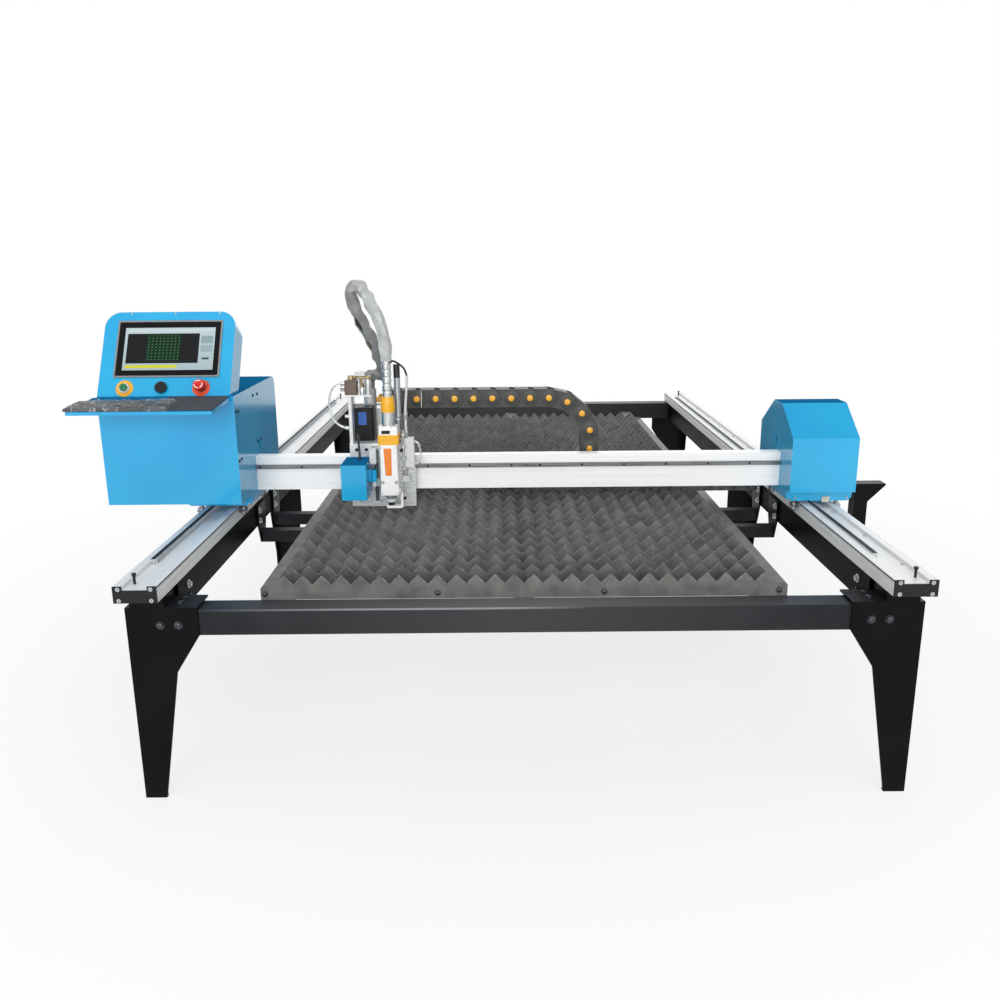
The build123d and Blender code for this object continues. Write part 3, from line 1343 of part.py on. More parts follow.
# Z drive housing: the sheet box beside the head with its round distance sensor
with BuildPart() as z_drive_housing:
    housing_front = plate_front - HOUSING_DEPTH
    housing_right = HOUSING_LEFT + HOUSING_WIDTH
    housing_top = HOUSING_BOTTOM + HOUSING_HEIGHT
    block((HOUSING_LEFT, housing_front, HOUSING_BOTTOM), (housing_right, plate_front, housing_top))
    wall = CABINET_SHEET
    block(
        (HOUSING_LEFT + wall, housing_front + wall, HOUSING_BOTTOM + wall),
        (housing_right - wall, plate_front, housing_top - wall),
        mode=Mode.SUBTRACT,
    )
    sensor_y = housing_front + SENSOR_FRONT
    sensor_x = housing_right + 2 * SENSOR_RADIUS
    sensor_top = housing_top - SENSOR_DROP
    sensor_z = sensor_top - SENSOR_LENGTH
    rod((sensor_x, sensor_y, sensor_z), SENSOR_RADIUS, SENSOR_LENGTH)
    block(
        (housing_right, sensor_y - wall, sensor_z),
        (sensor_x, sensor_y + wall, sensor_top),
    )
hand_in(z_drive_housing, "z_drive_housing")

# Gas valve block on its post: the block, two upright fittings and a cross pipe
with BuildPart() as gas_valve_block:
    valve_y = plate_back + VALVE_DEPTH / 2
    block(
        (valve_left, valve_y - VALVE_BLOCK / 2, VALVE_Z),
        (valve_left + VALVE_BLOCK, valve_y + VALVE_BLOCK / 2, VALVE_Z + VALVE_HEIGHT),
    )
    pipe_x = valve_left + VALVE_SHELF - 2 * VALVE_PIPE
    rod((pipe_x, valve_y, VALVE_Z), 2 * VALVE_PIPE, VALVE_HEIGHT / 2)
    rod((pipe_x, valve_y, VALVE_Z), VALVE_PIPE, VALVE_HEIGHT)
    with Locations((valve_left + VALVE_SHELF / 2, valve_y, VALVE_Z + VALVE_HEIGHT - VALVE_PIPE)):
        Cylinder(VALVE_PIPE, VALVE_SHELF, rotation=(0, 90, 0))
hand_in(gas_valve_block, "gas_valve_block")

# Head plate: a slide on the Z guide with the lug that the screw lifts
with BuildPart() as head_plate:
    plate_half = HEAD_PLATE_WIDTH / 2
    head_plate_top = HEAD_PLATE_BOTTOM + HEAD_PLATE_HEIGHT
    block(
        (HEAD_X - plate_half, head_back, HEAD_PLATE_BOTTOM),
        (HEAD_X + plate_half, slide_front, head_plate_top),
    )
    slot_half = Z_GUIDE_WIDTH / 2 + SLIDE_GAP
    block(
        (HEAD_X - slot_half, plate_front - Z_GUIDE_DEPTH - SLIDE_GAP, HEAD_PLATE_BOTTOM),
        (HEAD_X + slot_half, slide_front, head_plate_top),
        mode=Mode.SUBTRACT,
    )
    nut_top = head_plate_top - NUT_DROP + NUT_HEIGHT
    nut_low = head_plate_top - NUT_DROP
    block(
        (SCREW_X - SCREW_LUG / 2, screw_y - SCREW_LUG / 2, nut_low),
        (HEAD_X - plate_half, slide_front, nut_top),
    )
    rod((SCREW_X, screw_y, nut_low), SHAFT_RADIUS + SHAFT_GAP, NUT_HEIGHT, mode=Mode.SUBTRACT)
hand_in(head_plate, "head_plate")

# Cutting head body with its top block, the band between them being a piece of its own
with BuildPart() as cutting_head_body:
    with BuildSketch(Plane.XY.offset(HEAD_BOTTOM)) as body_section:
        with Locations((HEAD_X, head_y)):
            RectangleRounded(HEAD_WIDTH, HEAD_DEPTH, HEAD_ROUND)
    extrude(body_section.sketch, amount=HEAD_HEIGHT)
    with BuildSketch(Plane.XY.offset(band_top)) as block_section:
        with Locations((HEAD_X, head_y)):
            RectangleRounded(HEAD_WIDTH + BAND_PROUD, HEAD_DEPTH, HEAD_ROUND)
    extrude(block_section.sketch, amount=TOP_BLOCK_HEIGHT)
hand_in(cutting_head_body, "cutting_head_body")

# Head trim: the band round the body and the tapered collar of the fibre cable
with BuildPart() as head_trim:
    with BuildSketch(Plane.XY.offset(head_top)) as band_section:
        with Locations((HEAD_X, head_y)):
            RectangleRounded(HEAD_WIDTH + 2 * BAND_PROUD, HEAD_DEPTH + BAND_PROUD, HEAD_ROUND)
    extrude(band_section.sketch, amount=BAND_HEIGHT)
    collar_profile = [
        (0, 0),
        (COLLAR_RADIUS, 0),
        (COLLAR_RADIUS, HEAD_COLLAR_HEIGHT / 2),
        (COLLAR_TOP_RADIUS, HEAD_COLLAR_HEIGHT),
        (0, HEAD_COLLAR_HEIGHT),
    ]
    turned((HEAD_X, head_y, barrel_top), collar_profile)
hand_in(head_trim, "head_trim")

# Collimator barrel and the ribbed strain relief above the collar
with BuildPart() as collimator_barrel:
    rod((HEAD_X, head_y, block_top), BARREL_RADIUS, BARREL_HEIGHT)
    rib_pitch = RELIEF_HEIGHT / RELIEF_RIBS
    relief_profile = [(0, 0)]
    relief_root = RELIEF_RADIUS - RELIEF_RIB
    for rib in range(RELIEF_RIBS):
        for share, radius in zip(RIB_SHARES, (RELIEF_RADIUS, RELIEF_RADIUS, relief_root, relief_root)):
            relief_profile.append((radius, (rib + share) * rib_pitch))
    relief_profile += [(relief_root, RELIEF_HEIGHT), (0, RELIEF_HEIGHT)]
    turned((HEAD_X, head_y, collar_top), relief_profile)
hand_in(collimator_barrel, "collimator_barrel")

# Nozzle: a dark cone, a sensor ring and the copper tip, turned in one
with BuildPart() as nozzle:
    tip_z = HEAD_BOTTOM - CONE_HEIGHT - NOZZLE_HEIGHT
    nozzle_profile = [
        (0, 0),
        (NOZZLE_TIP, 0),
        (NOZZLE_RADIUS / 2, NOZZLE_HEIGHT / 3),
        (NOZZLE_RADIUS, NOZZLE_HEIGHT / 2),
        (NOZZLE_RADIUS, NOZZLE_HEIGHT),
        (CONE_RADIUS, NOZZLE_HEIGHT + CONE_HEIGHT),
        (0, NOZZLE_HEIGHT + CONE_HEIGHT),
    ]
    turned((HEAD_X, head_y, tip_z), nozzle_profile)
hand_in(nozzle, "nozzle")

# Gas fittings: the pale block on the head plate's right edge, and the riser and filter on the plate's top
with BuildPart() as gas_fittings:
    fitting_x = HEAD_X + plate_half
    fitting_y = slide_front - FITTING_DEPTH / 2
    block(
        (fitting_x, slide_front - FITTING_DEPTH, FITTING_BOTTOM),
        (fitting_x + FITTING_WIDTH, slide_front, FITTING_BOTTOM + FITTING_HEIGHT),
    )
    filter_x = HEAD_X + FILTER_SIDE
    filter_z = head_plate_top + RISER_HEIGHT
    rod((filter_x, fitting_y, head_plate_top), RISER_RADIUS, RISER_HEIGHT)
    rod((filter_x, fitting_y, filter_z), FILTER_RADIUS, FILTER_HEIGHT)
hand_in(gas_fittings, "gas_fittings")


def cord_path_radii(points):
    """Corner radii of a route: a share of the shorter run over the tangent of half the turn."""
    radii = []
    for before, here, after in zip(points, points[1:], points[2:]):
        run_in = Vector(*here) - Vector(*before)
        run_out = Vector(*after) - Vector(*here)
        half_turn = radians(run_in.get_angle(run_out)) / 2
        radii.append(ROUTE_SHARE * min(run_in.length, run_out.length) / tan(half_turn))
    return radii


def cord(points, diameter):
    """A round cord swept along straight runs joined by tangent arcs."""
    radii = cord_path_radii(points)
    print("cord radii", [round(radius) for radius in radii])
    with BuildLine() as route:
        FilletPolyline(*points, radius=radii)
    first_run = Vector(*points[1]) - Vector(*points[0])
    with BuildSketch(Plane(points[0], z_dir=first_run)) as section:
        Circle(diameter / 2)
    sweep(section.sketch, path=route.wires()[0])
    print("cord length", round(route.wires()[0].length))


# Umbilical sleeve: up from the strain relief, over in a narrow loop and down to the clamp on the bracket
clamp_top = shelf_top + CLAMP_HEIGHT
sleeve_route = [
    (HEAD_X, head_y, relief_top),
    (HEAD_X, head_y, relief_top + 34),
    (HEAD_X - 4, head_y + 1, relief_top + 72),
    (HEAD_X - 11, head_y + 2, relief_top + 112),
    (HEAD_X - 23, head_y + 3, relief_top + 152),
    (HEAD_X - 41, head_y + 5, relief_top + 190),
    (HEAD_X - 59, head_y + 7, relief_top + 227),
    (HEAD_X - 76, head_y + 9, relief_top + 257),
    (HEAD_X - 89, head_y + 11, relief_top + 264),
    (HEAD_X - 104, head_y + 13, relief_top + 262.5),
    (HEAD_X - 116, head_y + 15, relief_top + 253),
    (HEAD_X - 121, head_y + 18, relief_top + 238),
    (HEAD_X - 112, head_y + 23, relief_top + 204),
    (HEAD_X - 101, head_y + 30, relief_top + 168),
    (HEAD_X - 85, head_y + 41, relief_top + 132),
    (HEAD_X - 69, head_y + 56, relief_top + 98),
    (HEAD_X - 54, head_y + 76, relief_top + 61),
    (HEAD_X - 42, head_y + 102, relief_top + 19),
    (HEAD_X - 35, head_y + 136, relief_top - 22),
    (HEAD_X - 34, head_y + 174, relief_top - 54),
    (HEAD_X - 41, head_y + 213, relief_top - 71),
    (HEAD_X - 58, head_y + 252, relief_top - 78),
    (HEAD_X - 80, chain_y - 31, clamp_top + 60),
    (HEAD_X - 98, chain_y - 9, clamp_top + 52),
    (clamp_x, chain_y, clamp_top + 30),
    (clamp_x, chain_y, clamp_top),
]
with BuildPart() as umbilical_sleeve:
    cord(sleeve_route, SLEEVE_DIAMETER)
hand_in(umbilical_sleeve, "umbilical_sleeve")

# Air tube: a clear loop from the valve block round to the valve post
air_tube_route = [
    (valve_left, valve_y, VALVE_Z + 40),
    (valve_left - 17, valve_y, VALVE_Z + 40),
    (valve_left - 36, valve_y - 1, VALVE_Z + 33),
    (valve_left - 51, valve_y - 2, VALVE_Z + 17),
    (valve_left - 60, valve_y - 3, VALVE_Z - 8),
    (valve_left - 63, valve_y - 4, VALVE_Z - 38),
    (valve_left - 59, valve_y - 4, VALVE_Z - 70),
    (valve_left - 47, valve_y - 3, VALVE_Z - 98),
    (valve_left - 28, valve_y - 1, VALVE_Z - 118),
    (valve_left - 3, valve_y, VALVE_Z - 128),
    (PLATE_LEFT, valve_y, VALVE_Z - 128),
]
with BuildPart() as air_tube:
    cord(air_tube_route, TUBE_DIAMETER)
hand_in(air_tube, "air_tube")

# Drive lead: up from the Z drive housing, over the carriage plate and down to the bracket
lead_x = HOUSING_LEFT + 58
lead_y = plate_front - 60
drive_lead_route = [
    (lead_x, lead_y, housing_top),
    (lead_x, lead_y, housing_top + 34),
    (lead_x - 4, lead_y + 14, housing_top + 62),
    (lead_x - 10, lead_y + 42, housing_top + 82),
    (lead_x - 14, plate_back, housing_top + 83),
    (lead_x - 16, plate_back + 22, bracket_top + 32),
    (lead_x - 16, plate_back + 27, bracket_top + 16),
    (lead_x - 16, plate_back + 27, bracket_top),
]
with BuildPart() as drive_lead:
    cord(drive_lead_route, LEAD_DIAMETER)
hand_in(drive_lead, "drive_lead")
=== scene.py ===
from math import asin, cos, pi, radians, sin

import bmesh
import bpy
import numpy as np
from mathutils import Matrix, Vector


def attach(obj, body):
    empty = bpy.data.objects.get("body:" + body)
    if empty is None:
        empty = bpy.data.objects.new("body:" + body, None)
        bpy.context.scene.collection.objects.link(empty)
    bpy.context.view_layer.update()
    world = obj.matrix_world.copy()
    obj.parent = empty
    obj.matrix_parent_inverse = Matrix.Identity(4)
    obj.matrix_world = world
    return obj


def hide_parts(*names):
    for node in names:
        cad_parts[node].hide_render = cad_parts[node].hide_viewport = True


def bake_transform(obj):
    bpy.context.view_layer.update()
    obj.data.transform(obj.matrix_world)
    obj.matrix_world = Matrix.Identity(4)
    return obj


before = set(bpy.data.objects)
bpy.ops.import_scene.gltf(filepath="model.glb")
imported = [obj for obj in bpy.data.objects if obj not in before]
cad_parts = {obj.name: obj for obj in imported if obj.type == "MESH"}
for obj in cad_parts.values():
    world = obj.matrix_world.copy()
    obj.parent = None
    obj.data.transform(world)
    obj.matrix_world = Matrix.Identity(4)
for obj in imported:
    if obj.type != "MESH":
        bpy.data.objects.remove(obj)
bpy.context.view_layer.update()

scene = bpy.context.scene
scene.view_settings.view_transform = "Standard"

# Shapes are in millimetres, X along the beam, Y towards the rear and Z up.
METRE = 1000.0
SIDES = (-1, 1)
LEVEL, AHEAD, UPRIGHT = (1.0, 0.0, 0.0), (0.0, 1.0, 0.0), (0.0, 0.0, 1.0)
LEFTWARD, FRONTWARD = (-1.0, 0.0, 0.0), (0.0, -1.0, 0.0)
EVEN = (1.0, 1.0, 1.0)

RAIL_X = 1120
RAIL_END = 1902.4
RAIL_FLANK = RAIL_X - 63
CHANNEL_FLOOR = 713
LEG_FRONT = -1827.5
LEG_TOP = 632
BED_FRONT = -1739.5
PACKER_X = 1060
HANGER_X = 1052
GANTRY_Y = -865
SKIRT_HALF = 179
BEAM_FRONT = -944
GUIDE_Z = 860
RACK_HEIGHT = 18
HEAD_X = -478
HEAD_Y = -1037.5
HEAD_FRONT = -1068
COVER_FRONT = -1071
COVER_FOOT = 776
VALVE_Y = -940
VALVE_FOOT = 1136
TEE_Z = 1199
GAS_Y = -996
CHAIN_Y = -723
CHAIN_HIGH = 1089.4
CHAIN_LOW = 754.6
CHAIN_PITCH = 74.5
CHAIN_START = -545
CHAIN_BEND = 125.5
CHAIN_HALF = 35.5
CHAIN_SIDE = 38
BUTTON_UP = 30
START_X = -1386
STOP_X = -1117
FACE_LEAN = radians(30.5)
FACE_FOOT = np.array((0.0, -1163.0, 1165.0))
FACE_UP = np.array((0.0, sin(FACE_LEAN), cos(FACE_LEAN)))
FACE_OUT = np.array((0.0, -cos(FACE_LEAN), sin(FACE_LEAN)))
TRAY_TILT = radians(4)
TRAY_CORNER = np.array((-1492.0, -1170.0, 1164.0))
TRAY_UP = np.array((0.0, cos(TRAY_TILT), sin(TRAY_TILT)))
TRAY_OUT = np.array((0.0, -sin(TRAY_TILT), cos(TRAY_TILT)))

# Camera: the photograph's own place and angle, found from the edges of the rails and legs
CAMERA_PLACE = (-0.071, -4.4118, 1.6269)
CAMERA_PITCH = radians(14.611)
CAMERA_ROLL = radians(-0.4896)
CAMERA_LENS = 33.48


def place_camera():
    """Right, up and back axes from the pitch below level, then a small roll about the view line."""
    ahead = Vector((0.0, cos(CAMERA_PITCH), -sin(CAMERA_PITCH)))
    right = Vector(LEVEL)
    up = right.cross(ahead)
    rolled_right = right * cos(CAMERA_ROLL) + up * sin(CAMERA_ROLL)
    rolled_up = up * cos(CAMERA_ROLL) - right * sin(CAMERA_ROLL)
    lens = bpy.data.cameras.new("photo_camera")
    lens.lens = CAMERA_LENS
    lens.sensor_width = 36.0
    camera = bpy.data.objects.new("photo_camera", lens)
    axes = Matrix((rolled_right, rolled_up, -ahead)).transposed()
    camera.matrix_world = Matrix.Translation(CAMERA_PLACE) @ axes.to_4x4()
    scene.collection.objects.link(camera)
    scene.camera = camera


place_camera()


# Colours and shader nodes
def paint(code):
    """A colour from its sRGB hex code: c / 12.92 up to 0.04045, ((c + 0.055) / 1.055) ** 2.4 above."""
    levels = [int(code[i:i + 2], 16) / 255 for i in (1, 3, 5)]
    return (*[c / 12.92 if c <= 0.04045 else ((c + 0.055) / 1.055) ** 2.4 for c in levels], 1.0)


def add_node(tree, kind, *values, inputs=None, stops=None, **settings):
    """One shader node, as its outputs. Settings are attributes, stops fill a ramp, values or sockets go to
    the inputs in order, and a dictionary names the inputs that stand elsewhere."""
    made = tree.nodes.new("ShaderNode" + kind)
    for key, value in settings.items():
        setattr(made, key, value)
    for key, value in [*enumerate(values), *(inputs or {}).items()]:
        if isinstance(value, bpy.types.NodeSocket):
            tree.links.new(value, made.inputs[key])
        else:
            made.inputs[key].default_value = value
    if stops:
        ramp = made.color_ramp
        while len(ramp.elements) < len(stops):
            ramp.elements.new(1.0)
        for element, (place, colour) in zip(ramp.elements, stops):
            element.position = place
            element.color = colour
    return made.outputs


class Look:
    """A finish while it is made: a material, its principled shader and the object's own coordinates."""

    def __init__(self, name, **values):
        self.material = bpy.data.materials.new(name)
        self.material.use_nodes = True
        self.tree = self.material.node_tree
        self.shader = self.tree.nodes["Principled BSDF"]
        for key, value in values.items():
            self.shader.inputs[key.replace("_", " ")].default_value = value
        self.spots = self.node("TexCoord")["Object"]

    def node(self, kind, *values, **how):
        """One more node in this finish, as its outputs."""
        return add_node(self.tree, kind, *values, **how)

    def feed(self, socket, name):
        """Links a result to one of the shader's inputs."""
        self.tree.links.new(socket, self.shader.inputs[name])

    def mottle(self, size, detail=4.0, stretch=EVEN):
        """Noise in patches of about that size in metres, longer on an axis where its stretch is under 1."""
        scaled = self.node("Mapping", inputs={"Vector": self.spots, "Scale": stretch})[0]
        settings = {"Vector": scaled, "Scale": 1.0 / size, "Detail": detail, "Roughness": 0.55}
        return self.node("TexNoise", inputs=settings)[0]

    def shade(self, factor, low, high, rough, bump=None, span=(0.35, 0.65)):
        """Two colours over a factor, with the roughness between two values and a bump height in metres."""
        stops = [(span[0], paint(low)), (span[1], paint(high))]
        self.feed(self.node("ValToRGB", factor, stops=stops)[0], "Base Color")
        self.feed(self.node("MapRange", factor, 0.0, 1.0, rough[0], rough[1])[0], "Roughness")
        if bump:
            self.feed(self.node("Bump", 1.0, bump, inputs={"Height": factor})[0], "Normal")

    def over(self, factor, code, name="Base Color"):
        """Lays another colour over what already feeds one of the shader's inputs, by a factor."""
        below = self.shader.inputs[name].links[0].from_socket
        mixed = self.node("Mix", inputs={0: factor, 6: below, 7: paint(code)}, data_type="RGBA")[2]
        self.feed(mixed, name)

    def facing_up(self, low, high, most=1.0):
        """How far a surface faces up: nothing below a low normal height, and the most above a high one."""
        facing = self.node("NewGeometry")["Normal"]
        return self.node("MapRange", self.node("SeparateXYZ", facing)["Z"], low, high, 0.0, most)[0]

    def fade_out(self, factor, **levels):
        """Shader values that fall from their level to nothing as a factor rises."""
        for key, level in levels.items():
            self.feed(self.node("MapRange", factor, 0.0, 1.0, level, 0.0)[0], key.replace("_", " "))


# Finishes
def even_finish(name, low, high, rough, bump, patch, detail=4.0, stretch=EVEN, **values):
    """One material throughout, in two near tones over patches of that size."""
    look = Look(name, **values)
    look.shade(look.mottle(patch, detail, stretch), low, high, rough, bump)
    return look


def moulded_plastic(name, low, high, rough=(0.38, 0.55), gloss=0.5, metal=0.0):
    """Injection-moulded plastic with a spark-eroded grain, which breaks up its sheen a little."""
    values = {"Specular_IOR_Level": gloss, "Metallic": metal}
    return even_finish(name, low, high, rough, 0.00012, 0.004, 3.0, **values)


def worked_metal(
    name, low, high, rough=(0.2, 0.38), stretch=(1, 1, 0.05), size=0.003, metal=1.0, bump=0.00005
):
    """Turned, milled or plated metal: fine tool lines along one axis, and slight tarnish between them."""
    return even_finish(name, low, high, rough, bump, size, stretch=stretch, Metallic=metal)


def gloss_blue_paint():
    """Two-pack enamel on folded sheet: even sky blue, wet gloss, and a faint peel, drawn at 9 mm because
    the real 2 mm wouldn't show. What faces up carries a painted dark reflection in deeper blue and loses
    its gloss under a film of dust, and below the skirts' foot the axle nuts are bare zinc-plated steel."""
    skirt_foot = 0.7346
    look = Look("gloss_blue_enamel", Coat_Roughness=0.03)
    look.shade(look.mottle(0.35, 2.0), "#1AA2D8", "#22ACDE", (0.14, 0.22))
    look.fade_out(look.facing_up(0.3, 0.9), Coat_Weight=0.3, Specular_IOR_Level=0.5)
    # Painted dark reflection: deeper blue laid over the faces that look up
    look.over(look.facing_up(0.8, 0.97, 0.85), "#155C8C")
    bare = look.node("Math", look.node("SeparateXYZ", look.spots)["Z"], skirt_foot, operation="LESS_THAN")[0]
    look.over(bare, "#9A9C9D")
    look.feed(bare, "Metallic")
    look.feed(look.node("Bump", 0.35, 0.0002, inputs={"Height": look.mottle(0.009, 2.0)})[0], "Normal")
    return look


def black_frame_paint(name, low, high, gloss, top, most):
    """Semi-gloss black enamel on welded tube: a soft sheen, and a patchy film of another tone on what faces
    up. Its grain is drawn at 6 mm, coarser than the real one, so that it shows."""
    look = Look(name, Specular_IOR_Level=gloss)
    look.shade(look.mottle(0.12, 5.0), low, high, (0.34, 0.50))
    upper = look.facing_up(0.5, 1.0, most)
    look.over(look.node("Math", upper, look.mottle(0.05, 6.0), operation="MULTIPLY")[0], top)
    look.feed(look.node("Bump", 0.25, 0.0003, inputs={"Height": look.mottle(0.006, 3.0)})[0], "Normal")
    return look


def crossbar_paint():
    """The frame's enamel on the cross tubes. Along 1 m from the middle to each end its grey goes from
    lighter to the plain tone, most of all on top. A painted highlight lies pale along the left of the
    front tube's upper edge."""
    front_face, highlight_foot, highlight_top = -1.82, 0.615, 0.619
    look = black_frame_paint("black_crossbar_enamel", "#202124", "#28292C", 0.09, "#141A24", 1.5)
    place = look.node("SeparateXYZ", look.spots)
    off_middle = look.node("Math", place["X"], operation="ABSOLUTE")[0]
    middle = look.node("MapRange", off_middle, 1.0, 0.1, 0.0, 0.9)[0]
    front = look.node("Math", place["Y"], front_face, operation="LESS_THAN")[0]
    left = look.node("MapRange", place["X"], 0.2, -0.2, 0.0, 2.0)[0]
    # Painted highlight: a pale band on the front tube's upper edge, left of the middle
    edge = look.node("MapRange", place["Z"], highlight_foot, highlight_top)[0]
    for part in (front, left):
        edge = look.node("Math", edge, part, operation="MULTIPLY")[0]
    for factor, code in ((1.0, "#414143"), (look.facing_up(0.8, 0.97), "#686869"), (edge, "#8C8D90")):
        look.over(look.node("Math", middle, factor, use_clamp=True, operation="MULTIPLY")[0], code)
    return look


def extruded_aluminium(name, along, low, high, metal, rough, mark, gloss):
    """Clear-anodised extrusion: pale metal with a few dull marks, and die lines along its length. The lines
    are drawn at 4 mm, because the real ones are finer than a pixel."""
    look = Look(name, Metallic=metal, Specular_IOR_Level=gloss)
    stretch = [0.004 if axis == along else 1.0 for axis in "XYZ"]
    look.shade(look.mottle(0.004, 3.0, stretch), low, high, rough, 0.00005)
    look.over(look.node("MapRange", look.mottle(0.09, 6.0), 0.58, 0.75, 0.0, 0.35)[0], mark)
    return look


def burnt_slat_steel():
    """Hot-rolled strip that has stood under the cutting jet: brown-black scale, grey bare patches, and an
    edge worn pale along the teeth. The tip line is slat top less depth by |2 frac(x / pitch) - 1|."""
    half, pitch, depth, top = 0.762, 1.524 / 26, 0.029, 0.696
    look = Look("burnt_slat_steel", Metallic=0.35)
    look.shade(look.mottle(0.06, 8.0), "#535250", "#7B7976", (0.45, 0.75), 0.0006, (0.3, 0.72))
    place = look.node("SeparateXYZ", look.spots)
    from_left = look.node("Math", place["X"], half, operation="ADD")[0]
    teeth = look.node("Math", from_left, pitch, operation="DIVIDE")[0]
    share = look.node("Math", teeth, operation="FRACT")[0]
    swing = look.node("Math", share, 2.0, -1.0, operation="MULTIPLY_ADD")[0]
    off_tip = look.node("Math", swing, operation="ABSOLUTE")[0]
    edge = look.node("Math", off_tip, -depth, top, operation="MULTIPLY_ADD")[0]
    below = look.node("Math", edge, place["Z"], operation="SUBTRACT")[0]
    near = look.node("MapRange", below, 0.0035, 0.0005)[0]
    worn = look.node("MapRange", look.mottle(0.012), 0.46, 0.64, 0.0, 0.6)[0]
    look.over(look.node("Math", near, worn, operation="MULTIPLY")[0], "#A5A29C")
    return look


def rack_steel():
    """Ground rack bar in its channel: bright steel on its sides, and dark navy and less metallic on what
    faces up.
    """
    look = Look("ground_rack_steel")
    look.shade(look.mottle(0.003, 4.0, (1, 0.1, 1)), "#B4B8BB", "#CDD0D2", (0.25, 0.4))
    top_faces = look.facing_up(0.5, 0.8, 0.95)
    look.fade_out(top_faces, Metallic=0.3, Specular_IOR_Level=0.15)
    look.over(top_faces, "#131A28")
    return look


def fitting_stack():
    """The gas fittings in their zones by height: a pale moulded block, a bright plated stem and filter body
    above 0.985 m, and a black filter cap above 1.204 m."""
    look = Look("pale_block_and_filter")
    look.shade(look.mottle(0.004, 3.0), "#C9CBCB", "#DCDDDC", (0.22, 0.36), 0.0001)
    height = look.node("SeparateXYZ", look.spots)["Z"]
    stem, lid = [look.node("Math", height, foot, operation="GREATER_THAN")[0] for foot in (0.985, 1.204)]
    look.over(stem, "#A9ACAE")
    look.over(lid, "#141517")
    bright = look.node("Math", stem, lid, operation="SUBTRACT")[0]
    look.feed(look.node("Math", bright, 0.7, operation="MULTIPLY")[0], "Metallic")
    return look


def wrap_cloth():
    """Coated cloth wrap round the head's cables: grey, half matt, creased into planes given different tones
    by painted shade, darkened by painted shade on the run back to the carriage, and dark where its seam gapes
    over the cables. Its basket weave of 0.8 mm is drawn at 5 mm along the piece's own map so that it shows."""
    look = Look("coated_wrap_cloth", Sheen_Weight=0.15)
    look.shade(look.mottle(0.03, 5.0), "#A3A5A5", "#AFB1B0", (0.36, 0.5))
    plane = look.node("SeparateXYZ", look.node("UVMap", uv_map="fold")[0])
    # Painted shade: each crease plane is lightened by its own tone
    look.over(look.node("MapRange", plane["X"], 0.0, 1.0, 0.0, 0.5)[0], "#CDCFCE")
    # Painted shade: darker on from 0.28 to 0.36 of the length, over the run back to the carriage
    look.over(look.node("MapRange", plane["Y"], 0.28, 0.36, 0.0, 0.7)[0], "#62635F")
    cloth = look.node("UVMap", uv_map="wrap")[0]
    gaps = (
        ((20.0, 88.0, 0.0), (2.2, 5.5, 1.0), "#1F2022"),
        ((20.0, 106.0, 0.0), (2.6, 4.5, 1.0), "#1F2022"),
        ((20.9, 106.0, 0.0), (0.6, 4.0, 1.0), "#C9A827"),
    )
    for centre, reach, code in gaps:
        off = look.node("VectorMath", cloth, centre, operation="SUBTRACT")[0]
        scaled = look.node("VectorMath", off, reach, operation="DIVIDE")[0]
        away = look.node("VectorMath", scaled, operation="LENGTH")["Value"]
        look.over(look.node("Math", away, 1.0, operation="LESS_THAN")[0], code)
    bands = {"Vector": cloth, "Scale": 1.0, "Distortion": 0.4}
    threads = [look.node("TexWave", inputs=bands, bands_direction=way)[1] for way in "XY"]
    weave = look.node("Math", *threads, operation="MAXIMUM")[0]
    height = look.node("Math", look.mottle(0.022, 3.0), 1.5, weave, operation="MULTIPLY_ADD")[0]
    look.feed(look.node("Bump", 0.25, 0.0002, inputs={"Height": height})[0], "Normal")
    return look


def crinkled_film():
    """Thin clear packing film over the keyboard: mostly seen by its creases, painted as highlights that are
    whiter and less clear where a noise of 35 mm patches crosses its middle value."""
    look = Look("clear_packing_film", IOR=1.45)
    folds = look.mottle(0.035, 2.5, (0.7, 1.5, 1.0))
    # Painted highlights: the film is whiter and more opaque along its crease lines
    look.shade(folds, "#C9CCCE", "#EEF0F1", (0.05, 0.2), None, (0.45, 0.62))
    past_middle = look.node("Math", folds, 0.5, operation="SUBTRACT")[0]
    off_line = look.node("Math", past_middle, operation="ABSOLUTE")[0]
    look.feed(look.node("MapRange", off_line, 0.0, 0.024, 0.6, 0.13)[0], "Alpha")
    return look


